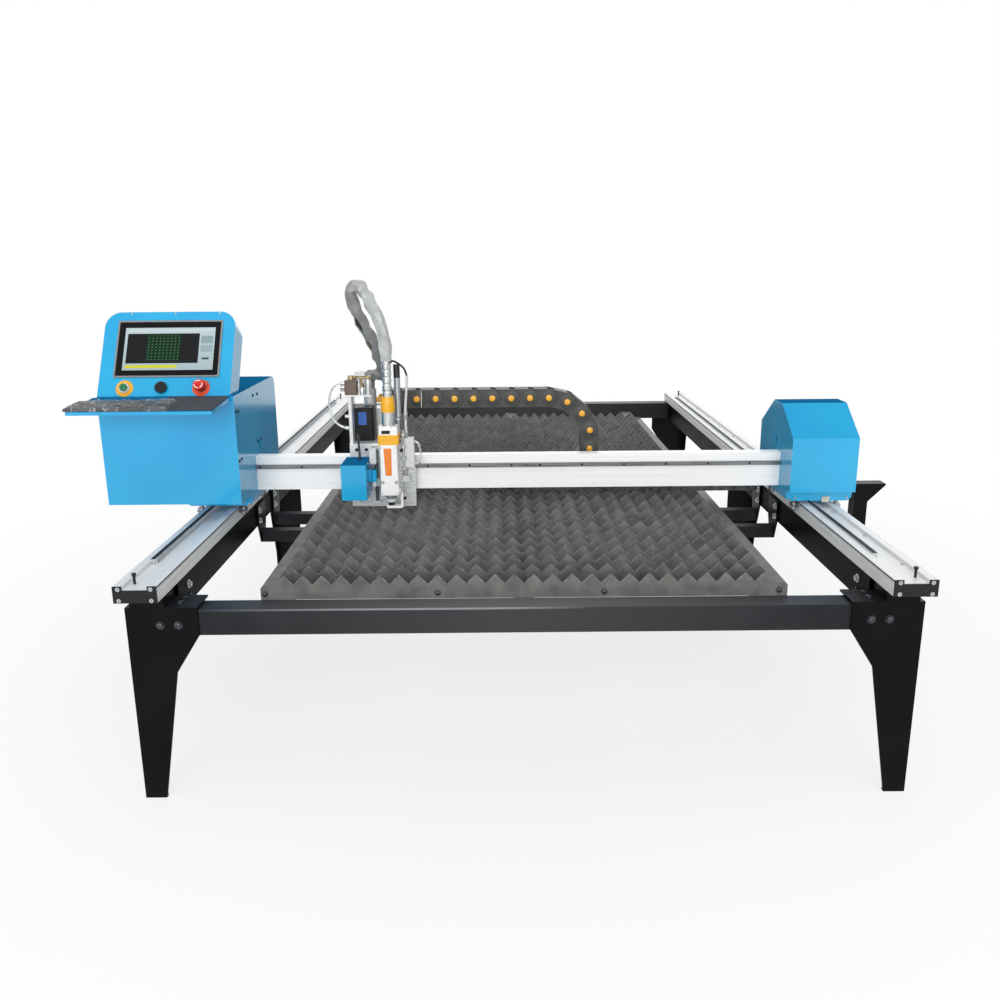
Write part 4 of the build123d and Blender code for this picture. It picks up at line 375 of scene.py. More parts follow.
def screen_picture():
    """The lit panel: a pale border, a near-black canvas with a green sheet of dots, a grey side panel and a
    yellow bar, all from rectangles of the panel's own map, behind smooth glass."""
    glass = {"Base_Color": paint("#060708"), "Roughness": 0.08, "Specular_IOR_Level": 0.15}
    look = Look("lit_screen", Emission_Strength=0.85, **glass)
    panel = look.node("UVMap", uv_map="screen")[0]
    place = look.node("SeparateXYZ", panel)

    def window(left, low, right, high):
        """One inside the rectangle and nothing outside it: the product of four comparisons."""
        inside = 1.0
        for axis, least, most in (("X", left, right), ("Y", low, high)):
            for test, limit in (("GREATER_THAN", least), ("LESS_THAN", most)):
                tested = look.node("Math", place[axis], limit, operation=test)[0]
                inside = look.node("Math", inside, tested, operation="MULTIPLY")[0]
        return inside

    layers = [
        (window(0.03, 0.16, 0.83, 0.86), "#17191C"),
        (window(0.25, 0.20, 0.62, 0.84), "#12301F"),
        (window(0.85, 0.62, 0.98, 0.80), "#9FB6BC"),
        (window(0.85, 0.42, 0.98, 0.58), "#AAC0C5"),
        (window(0.87, 0.24, 0.95, 0.29), "#51636A"),
        (window(0.03, 0.05, 0.60, 0.12), "#E6E43A"),
        (window(0.03, 0.91, 0.97, 0.97), "#DCEAED"),
    ]
    dots = look.node("Mapping", inputs={"Vector": panel, "Scale": (24.0, 14.0, 1.0)})[0]
    cell = look.node("VectorMath", dots, operation="FRACTION")[0]
    reach = look.node("VectorMath", cell, (0.5, 0.5, 0.0), operation="DISTANCE")["Value"]
    dot = look.node("Math", reach, 0.17, operation="LESS_THAN")[0]
    sheet = window(0.26, 0.22, 0.61, 0.82)
    layers.append((look.node("Math", dot, sheet, operation="MULTIPLY")[0], "#3F9A55"))
    stops = [(0.0, paint("#B9CFD4")), (1.0, paint("#CFE2E6"))]
    look.feed(look.node("ValToRGB", place["Y"], stops=stops)[0], "Emission Color")
    for factor, code in layers:
        look.over(factor, code, "Emission Color")
    return look


def stop_red():
    """The stop's moulded red cap, with three pale arcs round its middle on a map in millimetres."""
    arc_radius, arc_half, arc_share = 14.0, 1.6, 0.72
    look = Look("stop_cap_red", Specular_IOR_Level=0.3)
    look.shade(look.mottle(0.01, 2.0), "#C81B12", "#DA2A1C", (0.25, 0.38))
    place = look.node("SeparateXYZ", look.node("UVMap", uv_map="cap")[0])
    thirds = look.node("Math", place["X"], 3.0, operation="MULTIPLY")[0]
    share = look.node("Math", thirds, operation="FRACT")[0]
    past_ring = look.node("Math", place["Y"], arc_radius, operation="SUBTRACT")[0]
    off_ring = look.node("Math", past_ring, operation="ABSOLUTE")[0]
    pairs = ((share, arc_share), (off_ring, arc_half))
    tests = [look.node("Math", *pair, operation="LESS_THAN")[0] for pair in pairs]
    look.over(look.node("Math", *tests, operation="MULTIPLY")[0], "#F0ECE8")
    return look


FINISH = {
    "blue": gloss_blue_paint(),
    "frame": black_frame_paint("black_frame_enamel", "#050607", "#0C0D0F", 0.09, "#2E3136", 0.55),
    "sidebeam": black_frame_paint("black_side_beam_enamel", "#040506", "#090A0B", 0.02, "#2E3136", 0.55),
    "crossbar": crossbar_paint(),
    "rail": extruded_aluminium(
        "anodised_rail_aluminium", "Y", "#E2E3E3", "#EEEEED", 0.08, (0.36, 0.5), "#D6D7D7", 0.25
    ),
    "beam": extruded_aluminium(
        "white_coated_extrusion", "X", "#F7F7F6", "#FBFBFA", 0.0, (0.22, 0.34), "#EEEEEE", 0.5
    ),
    "slat": burnt_slat_steel(),
    "rack": rack_steel(),
    "guide": worked_metal("ground_guide_steel", "#6A6D70", "#85888B", stretch=(0.02, 1, 1)),
    "roller": worked_metal("turned_roller_steel", "#8C8F91", "#BCBFC1"),
    "gear": worked_metal("hobbed_pinion_steel", "#5A5D61", "#7B7E82", (0.3, 0.45)),
    "plate": worked_metal(
        "milled_plate_aluminium", "#CCCECF", "#D4D6D6", (0.24, 0.3), (0.1, 1, 1), metal=0.3, bump=None
    ),
    "steel": worked_metal("polished_barrel_steel", "#A9ACAE", "#D3D5D6", (0.15, 0.3)),
    "zinc": worked_metal("zinc_plated_screws", "#9FA2A4", "#CDCFCE", stretch=EVEN, size=0.002, metal=0.7),
    "bolt": worked_metal("phosphated_bolts", "#3A3C3F", "#56595C", (0.35, 0.5), EVEN),
    "oxide": worked_metal("black_oxide_screws", "#17181A", "#2B2D30", (0.35, 0.5), EVEN),
    "brass": worked_metal("machined_brass", "#96855F", "#AE9D76", stretch=EVEN, size=0.006, metal=0.6),
    "copper": worked_metal("nozzle_copper", "#A8623F", "#C8855E"),
    # Painted reflection: the chrome is drawn near white and barely metallic, so that it shows bright even in
    # shade
    "chrome": worked_metal("chromed_collar", "#E0E2E3", "#F0F1F1", (0.08, 0.16), metal=0.2),
    "galvanised": worked_metal("galvanised_trough", "#4E5052", "#646668", stretch=EVEN, size=0.02),
    "alloy": worked_metal("cast_nozzle_alloy", "#7C7F82", "#9A9DA0", (0.35, 0.5), EVEN),
    "cap": moulded_plastic("rail_cap_nylon", "#111214", "#1B1D20", gloss=0.25),
    "chain": moulded_plastic("chain_nylon", "#3C3D3A", "#494A47", gloss=0.3),
    "yellow": moulded_plastic("yellow_snap_caps", "#E9A318", "#F4B42A", (0.3, 0.42)),
    "trim": moulded_plastic("yellow_head_band", "#EDA80E", "#F6B922", (0.25, 0.36)),
    "orange": moulded_plastic("orange_head_panel", "#EC7A1C", "#F58A2C", (0.3, 0.4)),
    "motor": moulded_plastic("motor_black_coat", "#0D0E10", "#16181B", (0.32, 0.46), 0.25),
    "bezel": moulded_plastic("glass_black_border", "#050607", "#0A0B0C", (0.08, 0.14), 0.15),
    "key": moulded_plastic("keyboard_abs", "#0F1012", "#191B1D", (0.42, 0.55), 0.3),
    "keycap": moulded_plastic("keycap_abs", "#16171A", "#212326", (0.4, 0.52), 0.3),
    "rim": moulded_plastic("satin_rim_silver", "#7A7D80", "#8B8E91", (0.3, 0.42), metal=0.3),
    "coil": moulded_plastic("moulded_coil_brown", "#57473A", "#685545"),
    "blank": moulded_plastic("blank_blue_plate", "#2559AE", "#2F68BD", (0.3, 0.4)),
    "stop_ring": moulded_plastic("legend_ring_orange", "#D8451C", "#E25327", (0.4, 0.52)),
    "knob": moulded_plastic("button_black_abs", "#0B0C0E", "#14161A", (0.25, 0.36), 0.3),
    "green": moulded_plastic("start_lens_green", "#0E6B45", "#15855A", (0.15, 0.25)),
    "ring": moulded_plastic("legend_ring_yellow", "#E2A31A", "#EEB32C", (0.4, 0.52)),
    "grey": moulded_plastic("cabinet_unit_grey", "#7B7F83", "#8E9296"),
    "fitting": moulded_plastic("pale_gas_fitting", "#C4C6C6", "#DBDCDB", (0.25, 0.38)),
    "nylon": moulded_plastic("natural_nylon_tie", "#D9D8D2", "#E9E8E3"),
    # Stoved enamel of the cutting head: clean, faintly uneven, with a soft gloss
    "white": even_finish(
        "white_head_enamel", "#F1F1EF", "#F8F8F6", (0.28, 0.4), 0.00008, 0.03,
        Coat_Weight=0.2, Coat_Roughness=0.1,
    ),
    # Polyurethane air hose: clear with a milky wall, and slightly soft reflections
    "hose": even_finish(
        "clear_polyurethane_hose", "#DDE1E2", "#F2F4F4", (0.12, 0.25), None, 0.02, 2.0,
        Transmission_Weight=0.75, IOR=1.5, Coat_Weight=0.3,
    ),
    # Extruded jacket of soft vinyl: even, half matt, with slight flow marks
    "lead": even_finish("black_vinyl_jacket", "#0E0F10", "#191A1C", (0.35, 0.5), 0.0001, 0.01, 3.0),
    # Knitted polyester on foam rubber: dark grey, quite matt, its fine knit drawn at 4 mm so that it shows
    "mat": even_finish(
        "mouse_mat_cloth", "#414348", "#505359", (0.75, 0.9), 0.0002, 0.004, Specular_IOR_Level=0.1
    ),
    # Pressed wool felt of the rail wiper: off-white, fully matt and hairy
    "felt": even_finish(
        "wool_felt", "#B9B5A8", "#DAD7CC", (0.85, 0.95), 0.0006, 0.003, 6.0, Sheen_Weight=0.4
    ),
    "red": stop_red(),
    "filter": fitting_stack(),
    "wrap": wrap_cloth(),
    "film": crinkled_film(),
    "screen": screen_picture(),
}

NODE_FINISH = {
    "frame": "front_legs middle_legs rear_legs frame_brackets cable_arm",
    "sidebeam": "side_beams",
    "crossbar": "cross_beams",
    "rail": "rails",
    "cap": "rail_end_caps",
    "rack": "racks",
    "gear": "left_drive_pinion right_drive_pinion x_drive_pinion",
    "slat": "bed_frame bed_slats",
    "beam": "gantry_beam",
    "guide": "beam_rails guide_blocks z_screw",
    "blue": "carriage_bases carriage_side_plates right_cover control_cabinet console_shell console_panel"
            " keyboard_tray z_drive_housing",
    "grey": "cabinet_electronics",
    "motor": "drive_motors x_drive_motor",
    "roller": " ".join(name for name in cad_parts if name.endswith("_roller")),
    "bezel": "monitor",
    "ring": "button_rings",
    "key": "keyboard_and_pad",
    "green": "start_button",
    "knob": "panel_button",
    "red": "emergency_stop",
    "galvanised": "chain_trough",
    "chain": "chain_upper_run chain_lower_run chain_bend_links",
    "plate": "carriage_plate carriage_bracket head_plate",
    "white": "cutting_head_body",
    "trim": "head_trim",
    "steel": "collimator_barrel",
    "oxide": "nozzle",
    "filter": "gas_fittings",
    "brass": "gas_valve_block",
    "wrap": "umbilical_sleeve",
    "hose": "air_tube",
    "lead": "drive_lead",
}
for finish_name, node_names in NODE_FINISH.items():
    for node_name in node_names.split():
        cad_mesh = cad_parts[node_name].data
        cad_mesh.materials.clear()
        cad_mesh.materials.append(FINISH[finish_name].material)


# Surfaces as whole arrays: a shape is a pair of points and faces
def skin(rings, looped=False):
    """A surface through a stack of closed rings: point k of a ring joins point k of the next, and the first
    and last rings are closed by one face each, or joined to each other where the stack is a loop."""
    rings = np.asarray(rings, float)
    stations, count = rings.shape[:2]
    index = np.arange(stations * count).reshape(stations, count)
    lower = index if looped else index[:-1]
    upper = np.roll(index, -1, axis=0) if looped else index[1:]
    quads = np.stack((lower, np.roll(lower, -1, axis=1), np.roll(upper, -1, axis=1), upper), axis=-1)
    faces = quads.reshape(-1, 4).tolist()
    if not looped:
        faces += [index[0, ::-1].tolist(), index[-1].tolist()]
    return rings.reshape(-1, 3), faces


def stacked(rows, **how):
    """A surface through flat outlines, each given with its height."""
    return skin([np.column_stack((flat, np.full(len(flat), lift))) for flat, lift in rows], **how)


def circle(count):
    """Points on a circle of radius 1: (cos a, sin a) at equal steps of a."""
    angle = np.arange(count) * 2 * pi / count
    return np.stack((np.cos(angle), np.sin(angle)), axis=1)


def turned(profile, count):
    """A turned body: each profile row of radius r and height h becomes the ring (r cos a, r sin a, h)."""
    return stacked([(radius * circle(count), lift) for radius, lift in profile])


def spindle(profile, count):
    """A turned body whose ends are closed by flat discs down to its axis."""
    return turned([(0, profile[0][1]), *profile, (0, profile[-1][1])], count)


def rounded(width, height, radius, steps=4):
    """A rounded rectangle: four quarter circles of that radius about the corners' inner points."""
    corner = np.array((width / 2 - radius, height / 2 - radius))
    quarters = []
    for step, signs in enumerate(((1, 1), (-1, 1), (-1, -1), (1, -1))):
        angle = np.linspace(0, pi / 2, steps) + step * pi / 2
        quarters.append(radius * np.stack((np.cos(angle), np.sin(angle)), axis=1) + signs * corner)
    return np.concatenate(quarters)


def inset(outline, amount):
    """The outline moved inwards: each point goes along the sum of its edges' normals, so both edges move
    equally."""
    before = outline - np.roll(outline, 1, axis=0)
    after = np.roll(outline, -1, axis=0) - outline
    normals = []
    for edge in (before, after):
        length = np.linalg.norm(edge, axis=1, keepdims=True)
        normals.append(np.stack((-edge[:, 1], edge[:, 0]), axis=1) / length)
    facing = 1 + np.sum(normals[0] * normals[1], axis=1, keepdims=True)
    return outline + amount * (normals[0] + normals[1]) / facing


def prism(outline, stations, **how):
    """An outline carried upwards: each station is a height and how far the outline is moved in there."""
    flat = np.asarray(outline, float)
    return stacked([(inset(flat, shrink), height) for height, shrink in stations], **how)


def plate(outline, thick, edge):
    """An outline carried up by a thickness, with its upper edge broken by a small chamfer."""
    return prism(outline, [(0, 0), (thick - edge, 0), (thick, edge)])


def slab(width, height, thick, radius, edge):
    """A rounded plate."""
    return plate(rounded(width, height, radius), thick, edge)


def opened(width, height, radius, rim, thick, edge):
    """A flat frame round an opening: the outer outline, then the same moved in by the rim, both
    chamfered."""
    rows = [(0, 0), (thick - edge, 0), (thick, edge), (thick, rim - edge), (thick - edge, rim), (0, rim)]
    return prism(rounded(width, height, radius), rows, looped=True)


def axes_of(axis):
    """Unit vectors as columns: the first level where it can be, the second square to it, the third the
    axis."""
    along = np.array(axis, float) / np.linalg.norm(axis)
    helper = np.array(UPRIGHT if abs(along[2]) < 0.9 else AHEAD)
    first = np.cross(helper, along)
    first /= np.linalg.norm(first)
    return np.stack((first, np.cross(along, first), along), axis=1)


def copies(shape, spots, axis=UPRIGHT):
    """The shape set down at each spot with its upright turned to the axis: spot + axes times point."""
    points, faces = shape
    spots = np.atleast_2d(np.array(spots, float))
    moved = spots[:, None, :] + (points @ axes_of(axis).T)[None]
    count = len(points)
    every = [[corner + count * step for corner in face] for step in range(len(spots)) for face in faces]
    return moved.reshape(-1, 3), every


def placed(shape, origin, first=LEVEL, second=UPRIGHT):
    """The shape moved so that its own x and y run along two vectors: origin + axes times point."""
    points, faces = shape
    axes = np.stack((first, second, np.cross(first, second)))
    return points @ axes + np.array(origin, float), faces


def joined(*shapes):
    """Several shapes as one: their points in a row, and their faces numbered on."""
    every, start = [], 0
    for points, faces in shapes:
        every += [[corner + start for corner in face] for face in faces]
        start += len(points)
    return np.concatenate([points for points, faces in shapes]), every


def piece(name, shape, body, finish, replaced=(), smooth=32.0):
    """A mesh object of a shape with outward faces, which rides on a body; no body leaves it free."""
    points, faces = shape
    mesh = bpy.data.meshes.new(name)
    mesh.from_pydata((points / METRE).tolist(), [], faces)
    work = bmesh.new()
    work.from_mesh(mesh)
    bmesh.ops.remove_doubles(work, verts=work.verts, dist=1e-6)
    bmesh.ops.recalc_face_normals(work, faces=work.faces)
    work.to_mesh(mesh)
    work.free()
    mesh.shade_smooth()
    mesh.set_sharp_from_angle(angle=radians(smooth))
    mesh.materials.append(FINISH[finish].material)
    made = bpy.data.objects.new(name, mesh)
    scene.collection.objects.link(made)
    if body:
        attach(made, body)
    if replaced:
        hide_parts(*replaced)
    return made


def own_map(made, name, rule, period=None):
    """A map of the piece's own, where a rule turns its points into two columns. With a period, a face that
    crosses the seam has its low corners moved on by one period, so that the map runs across it."""
    mesh = made.data
    points = np.empty(len(mesh.vertices) * 3)
    mesh.vertices.foreach_get("co", points)
    corners = np.empty(len(mesh.loops), dtype=np.int32)
    mesh.loops.foreach_get("vertex_index", corners)
    places = rule(points.reshape(-1, 3) * METRE)[corners]
    if period:
        first = np.empty(len(mesh.polygons), dtype=np.int32)
        mesh.polygons.foreach_get("loop_start", first)
        sizes = np.diff(np.append(first, len(corners)))
        highest = np.repeat(np.maximum.reduceat(places[:, 0], first), sizes)
        places[:, 0] += period * (highest - places[:, 0] > period / 2)
    mesh.uv_layers.new(name=name).data.foreach_set("uv", places.ravel())


# Fasteners
ROUND = circle(12)
HEXAGON = ROUND / np.cos((np.arange(12) * pi / 6) % (pi / 3) - pi / 6)[:, None]


def socket_screw(radius, height):
    """A cap screw's head: a chamfered drum with a hexagon socket."""
    socket = 0.45 * radius * HEXAGON
    return stacked([
        (radius * ROUND, 0), (radius * ROUND, 0.85 * height), (0.88 * radius * ROUND, height),
        (socket, height), (socket, 0.45 * height),
    ])


def hex_bolt(across, height, washer):
    """A hexagon head on its washer, with the corners chamfered by a smaller circle on top."""
    thin = 0.25 * height
    return stacked([
        (washer * ROUND, 0), (washer * ROUND, thin), (across * HEXAGON, thin), (across * HEXAGON, height),
        (0.92 * across * ROUND, 1.08 * height),
    ])


def dome_screw(radius, height):
    """A round-headed screw with a small hollow drive in its middle."""
    rows = ((1, 0), (1, 0.25), (0.8, 0.7), (0.45, 0.95), (0.32, 0.95), (0.25, 0.5), (0, 0.5))
    return turned([(radius * out, height * up) for out, up in rows], 12)


# Cords: each route's own points are the control points of one smooth line
def cord_line(name, points, radius):
    """A curve object of one spline through a route's control points."""
    line = bpy.data.curves.new(name, "CURVE")
    line.dimensions = "3D"
    line.bevel_depth = radius / METRE
    line.bevel_resolution = 5
    line.resolution_u = 10
    line.use_fill_caps = radius > 0
    spline = line.splines.new("NURBS")
    spline.points.add(len(points) - 1)
    spline.points.foreach_set("co", np.column_stack((points / METRE, np.ones(len(points)))).ravel())
    spline.order_u = 3
    spline.use_endpoint_u = True
    made = bpy.data.objects.new(name, line)
    scene.collection.objects.link(made)
    return made


def line_points(points):
    """The points that Blender reads off a route's spline, in order along it."""
    guide = cord_line("route_guide", points, 0.0)
    bpy.context.view_layer.update()
    depsgraph = bpy.context.evaluated_depsgraph_get()
    mesh = bpy.data.meshes.new_from_object(guide.evaluated_get(depsgraph))
    along = np.empty(len(mesh.vertices) * 3)
    mesh.vertices.foreach_get("co", along)
    bpy.data.meshes.remove(mesh)
    bpy.data.objects.remove(guide)
    return along.reshape(-1, 3) * METRE


def square_axes(path, lean):
    """Two unit vectors square to a path at each point: the lean vector less its share along it, and the
    third."""
    ahead = np.gradient(path, axis=0)
    ahead /= np.linalg.norm(ahead, axis=1, keepdims=True)
    side = np.asarray(lean) - ahead * (ahead @ np.asarray(lean))[:, None]
    side /= np.linalg.norm(side, axis=1, keepdims=True)
    return side, np.cross(ahead, side)


SLEEVE_ROUTE = np.array((
    (-478, -1037.5, 1268), (-478, -1037.5, 1302), (-482, -1036.5, 1340), (-489, -1035.5, 1380),
    (-501, -1034.5, 1420), (-519, -1032.5, 1458), (-537, -1030.5, 1495), (-554, -1028.5, 1525),
    (-567, -1026.5, 1532), (-582, -1024.5, 1530.5), (-594, -1022.5, 1521), (-599, -1019.5, 1506),
    (-590, -1014.5, 1472), (-579, -1007.5, 1436), (-563, -996.5, 1400), (-547, -981.5, 1366),
    (-532, -961.5, 1329), (-520, -935.5, 1287), (-513, -901.5, 1246), (-512, -863.5, 1214),
    (-519, -824.5, 1197), (-536, -785.5, 1190), (-558, -754, 1188.9), (-576, -732, 1180.9),
    (-585, -723, 1158.9), (-585, -723, 1128.9),
))
AIR_ROUTE = np.array((
    (-646, -940, 1176), (-663, -940, 1176), (-682, -941, 1169), (-697, -942, 1153), (-706, -943, 1128),
    (-709, -944, 1098), (-705, -944, 1066), (-693, -943, 1038), (-674, -941, 1018), (-649, -940, 1008),
    (-634, -940, 1008),
))
LEAD_ROUTE = np.array((
    (-589, -1037, 904), (-589, -1037, 938), (-593, -1023, 966), (-599, -995, 986), (-603, -965, 987),
    (-605, -943, 972), (-605, -938, 956), (-605, -938, 940),
))
BUCKLE_SHARES = np.array((
    0.0, 0.022, 0.055, 0.098, 0.150, 0.196, 0.235, 0.268, 0.292, 0.313, 0.336, 0.361, 0.389, 0.421, 0.452,
    0.490, 0.528, 0.566, 0.601, 0.640, 0.679, 0.716, 0.752, 0.790, 0.828, 0.862, 0.896, 0.930, 0.966, 1.0,
))


def wrap_sleeve():
    """The cable wrap in creased planes along the route's line: seven corners run round it, and at buckle j
    corner k stands at (k + 0.28 sin(2.1 j + 1.7 k)) sevenths of a turn and radius R (1.1 + 0.19 sin(3.7 j +
    2.3 k)), with straight folds between the buckles. It is thinned in depth and drawn up to a point at the
    top of the loop. One map runs round and along the cloth, and another is even over each plane: its
    painted shade, and how far along it is."""
    corners, wide, least, most = 7, 21.2, 16.0, 26.2
    turns_of_map, along_of_map = 40.0, 5.0
    path = line_points(SLEEVE_ROUTE)
    length = np.concatenate(([0.0], np.cumsum(np.linalg.norm(np.diff(path, axis=0), axis=1))))
    whole = length[-1]
    buckles = whole * BUCKLE_SHARES
    j, k = np.arange(len(buckles))[:, None], np.arange(corners)[None]
    loose = np.clip(np.minimum(buckles, whole - buckles) / 50, 0, 1)[:, None]
    turn = 2 * pi / corners * (k + 0.28 * loose * np.sin(2.1 * j + 1.7 * k))
    swell = loose * (0.10 + 0.19 * np.sin(3.7 * j + 2.3 * k))

    def between(values):
        """Straight from each buckle to the next, at every point of the line."""
        return np.stack([np.interp(length, buckles, column) for column in values.T], axis=1)

    a = between(turn)[..., None]
    side, across = square_axes(path, (0.55, 0.65, -0.52))
    spread = np.cos(a) * side[:, None] + np.sin(a) * across[:, None]
    radius = wide * (1 + between(swell) - 0.24 * between(loose) * spread[..., 1] ** 2)
    near_top = np.exp(-np.abs(length - length[np.argmax(path[:, 2])]) / 8)[:, None]
    radius = np.clip(radius + 3 * near_top * np.clip(spread[..., 2], 0, 1), least, most)
    rings = path[:, None] + radius[..., None] * spread
    made = piece("umbilical_wrap", skin(rings), None, "wrap", ("umbilical_sleeve",), 5.0)
    round_and_along = (a.ravel() * turns_of_map / 2 / pi, np.repeat(length / along_of_map, corners))
    own_map(made, "wrap", lambda points: np.stack(round_and_along, axis=1), turns_of_map)
    fold = np.searchsorted(buckles, length[:-1], side="right") - 1
    # Painted shade: a tone from 0 to 1 for each crease plane, by which the cloth is lightened
    tone = (0.5 + 0.5 * np.sin(5.3 * j + 2.9 * k))[fold]
    along = np.broadcast_to(buckles[fold, None] / whole, tone.shape)
    planes = np.stack((tone, along), axis=-1).reshape(-1, 2)
    ends = np.array(((0.5, 0.0), (0.5, 1.0)))
    even = np.concatenate((np.repeat(planes, 4, axis=0), np.repeat(ends, corners, axis=0)))
    made.data.uv_layers.new(name="fold").data.foreach_set("uv", even.ravel())
    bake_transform(made)


def thin_cords():
    """The air hose and the motor lead: round tubes on their routes' lines."""
    for name, route, finish, slot, node_name, length, width in (
        ("valve_air_hose", AIR_ROUTE, "hose", "tube_clear", "air_tube", 0.246, 0.008),
        ("drive_motor_lead", LEAD_ROUTE, "lead", "lead_black", "drive_lead", 0.187, 0.009),
    ):
        made = cord_line(name, route, width * METRE / 2)
        made.data.materials.append(FINISH[finish].material)
        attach(made, "head_carriage")
        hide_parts(node_name)


def pipe(points, radius):
    """A round pipe: a circle of that radius carried square along the smooth line of the points."""
    path = line_points(np.array(points, float))
    side, across = square_axes(path, (0.31, 0.83, 0.46))
    out = ROUND[None, :, :, None]
    return skin(path[:, None] + radius * (out[:, :, 0] * side[:, None] + out[:, :, 1] * across[:, None]))


# Table: rack teeth, and the bolts of the frame, rails and bed
def rack_strip(half_length, first_tooth):
    """Rack teeth as a strip: at each station along y a ring of four points reaches out by the tooth's depth
    there, which goes root, tip, tip, root within each pitch of 2 pi mm."""
    pitch, base, tip, root, depth = 6.2832, 3.0, 1.3, 0.1, 4.3
    count = int(2 * half_length / pitch)
    centres = first_tooth + pitch * np.arange(-count, count)
    centres = centres[np.abs(centres) < half_length - pitch]
    along = (centres[:, None] + np.array((-base, -tip, tip, base))[None] / 2).ravel()
    out = np.tile((root, depth, depth, root), len(centres))
    none, full = np.zeros_like(along), np.full_like(along, RACK_HEIGHT)
    ring = [(none, none), (out, none), (out, full), (none, full)]
    return skin(np.stack([np.stack((reach, along, lift), axis=1) for reach, lift in ring], axis=1))


def table_details():
    """Rack teeth along both rails, and every bolt that shows on the frame, the rails and the bed."""
    strip = rack_strip(1667.5, GANTRY_Y - 0.942)
    both = copies(strip, [(side * RAIL_X - 23, 0, CHANNEL_FLOOR) for side in SIDES])
    piece("rail_rack_teeth", both, "table", "rack")
    cap_spots = [(side * RAIL_X + off, z) for side in SIDES for off in (-47, 47) for z in (682.5, 717)]
    caps = []
    for end in SIDES:
        caps.append(copies(dome_screw(7.2, 0.2), [(x, end * RAIL_END, z) for x, z in cap_spots], (0, end, 0)))
    piece("rail_cap_screws", joined(*caps), "table", "zinc")
    bolt = hex_bolt(8.5, 7.5, 13)
    stud = turned([(5.5, 0), (5.5, 40), (4.5, 42), (0, 42)], 12)
    plate_spots = [(x, BED_FRONT, 640) for x in (-790, -263, 245, 778)]
    dark = [
        copies(bolt, [(side * x, LEG_FRONT, 577) for side in SIDES for x in (1084, 1030)], FRONTWARD),
        copies(bolt, [(side * 1030, y, LEG_TOP) for side in SIDES for y in (-1792, -1752)]),
        copies(hex_bolt(6.5, 5.5, 9.5), plate_spots, FRONTWARD),
    ]
    bright = []
    hanger_spots = ((-755, 638), (-755, 596), (-498, 644), (-498, 597))
    for side in SIDES:
        inward = (-side, 0, 0)
        low_spot = [(side * PACKER_X, -1625, 590)]
        dark += [copies(hex_bolt(8.5, 12, 14), low_spot, inward), copies(stud, low_spot, inward)]
        spots = [(side * PACKER_X, -1625, 635)] + [(side * HANGER_X, y, z) for y, z in hanger_spots]
        bright.append(copies(hex_bolt(8.5, 9, 14), spots, inward))
    piece("frame_dark_bolts", joined(*dark), "table", "bolt")
    piece("frame_bright_bolts", joined(*bright), "table", "zinc")
    # Painted shadow: a thin black strip along each rail's inner side under its top lip, where the gap is in
    # shade
    shadow_strip = prism(rounded(3800, 4.2, 0.4, 2), [(0, 0), (0.3, 0)])
    edges = [placed(shadow_strip, (side * RAIL_FLANK, 0, 720.5), (0, -side, 0)) for side in SIDES]
    piece("rail_shadow_strips", joined(*edges), "table", "oxide")
    steps = np.arange(-1728.5, 1800, 300)
    floor_spots = [(side * RAIL_X + 28, y, CHANNEL_FLOOR) for side in SIDES for y in steps]
    piece("rail_floor_screws", copies(socket_screw(4.8, 3), floor_spots), "table", "zinc")


# Gantry: screws, felt wiper and guide strip
def gantry_details():
    """Bolts of the side plates and skirts, the rail wiper, and the guide strip's screws, joint and
    teeth."""
    plate_spots = (
        (-913.5, 1131), (-848.5, 1128), (-1155, 1108), (-1122.5, 1105),
        (-887.5, 953), (-835.5, 951), (-1155, 930), (-1126.5, 932),
    )
    screws = copies(dome_screw(6, 3.5), [(-1001, y, z) for y, z in plate_spots], LEVEL)
    piece("side_plate_screws", screws, "gantry", "oxide")
    skirts = []
    for end in SIDES:
        spots = [(side * x, GANTRY_Y + end * SKIRT_HALF, 747) for side in SIDES for x in (1226, 1033)]
        skirts.append(copies(dome_screw(4.2, 2.6), spots, (0, end, 0)))
    piece("skirt_screws", joined(*skirts), "gantry", "zinc")
    wiper = placed(slab(30, 22, 1.5, 2, 0.5), (RAIL_X + 27, GANTRY_Y - SKIRT_HALF, 741))
    piece("rail_wiper", wiper, "gantry", "felt")
    steps = np.concatenate((-26 - 160 * np.arange(7), 83 + 160 * np.arange(6)))
    screws = copies(socket_screw(4.3, 0.25), [(x, BEAM_FRONT, GUIDE_Z) for x in steps], FRONTWARD)
    piece("guide_screws", screws, "gantry", "oxide")
    joint = placed(slab(1.2, 14.5, 0.3, 0.3, 0.1), (28.5, BEAM_FRONT, GUIDE_Z))
    piece("guide_joint", joint, "gantry", "oxide")
    teeth = placed(rack_strip(999.5, 598 - 0.942), (0, -826, 868), AHEAD, LEFTWARD)
    piece("beam_rack_teeth", teeth, "gantry", "rack")


# Console: the screen, the legend rings and the buttons
def on_face(x, up, lift):
    """A place on the console's leaning face: along it, up it and out from it."""
    return FACE_FOOT + up * FACE_UP + lift * FACE_OUT + np.array((x, 0.0, 0.0))


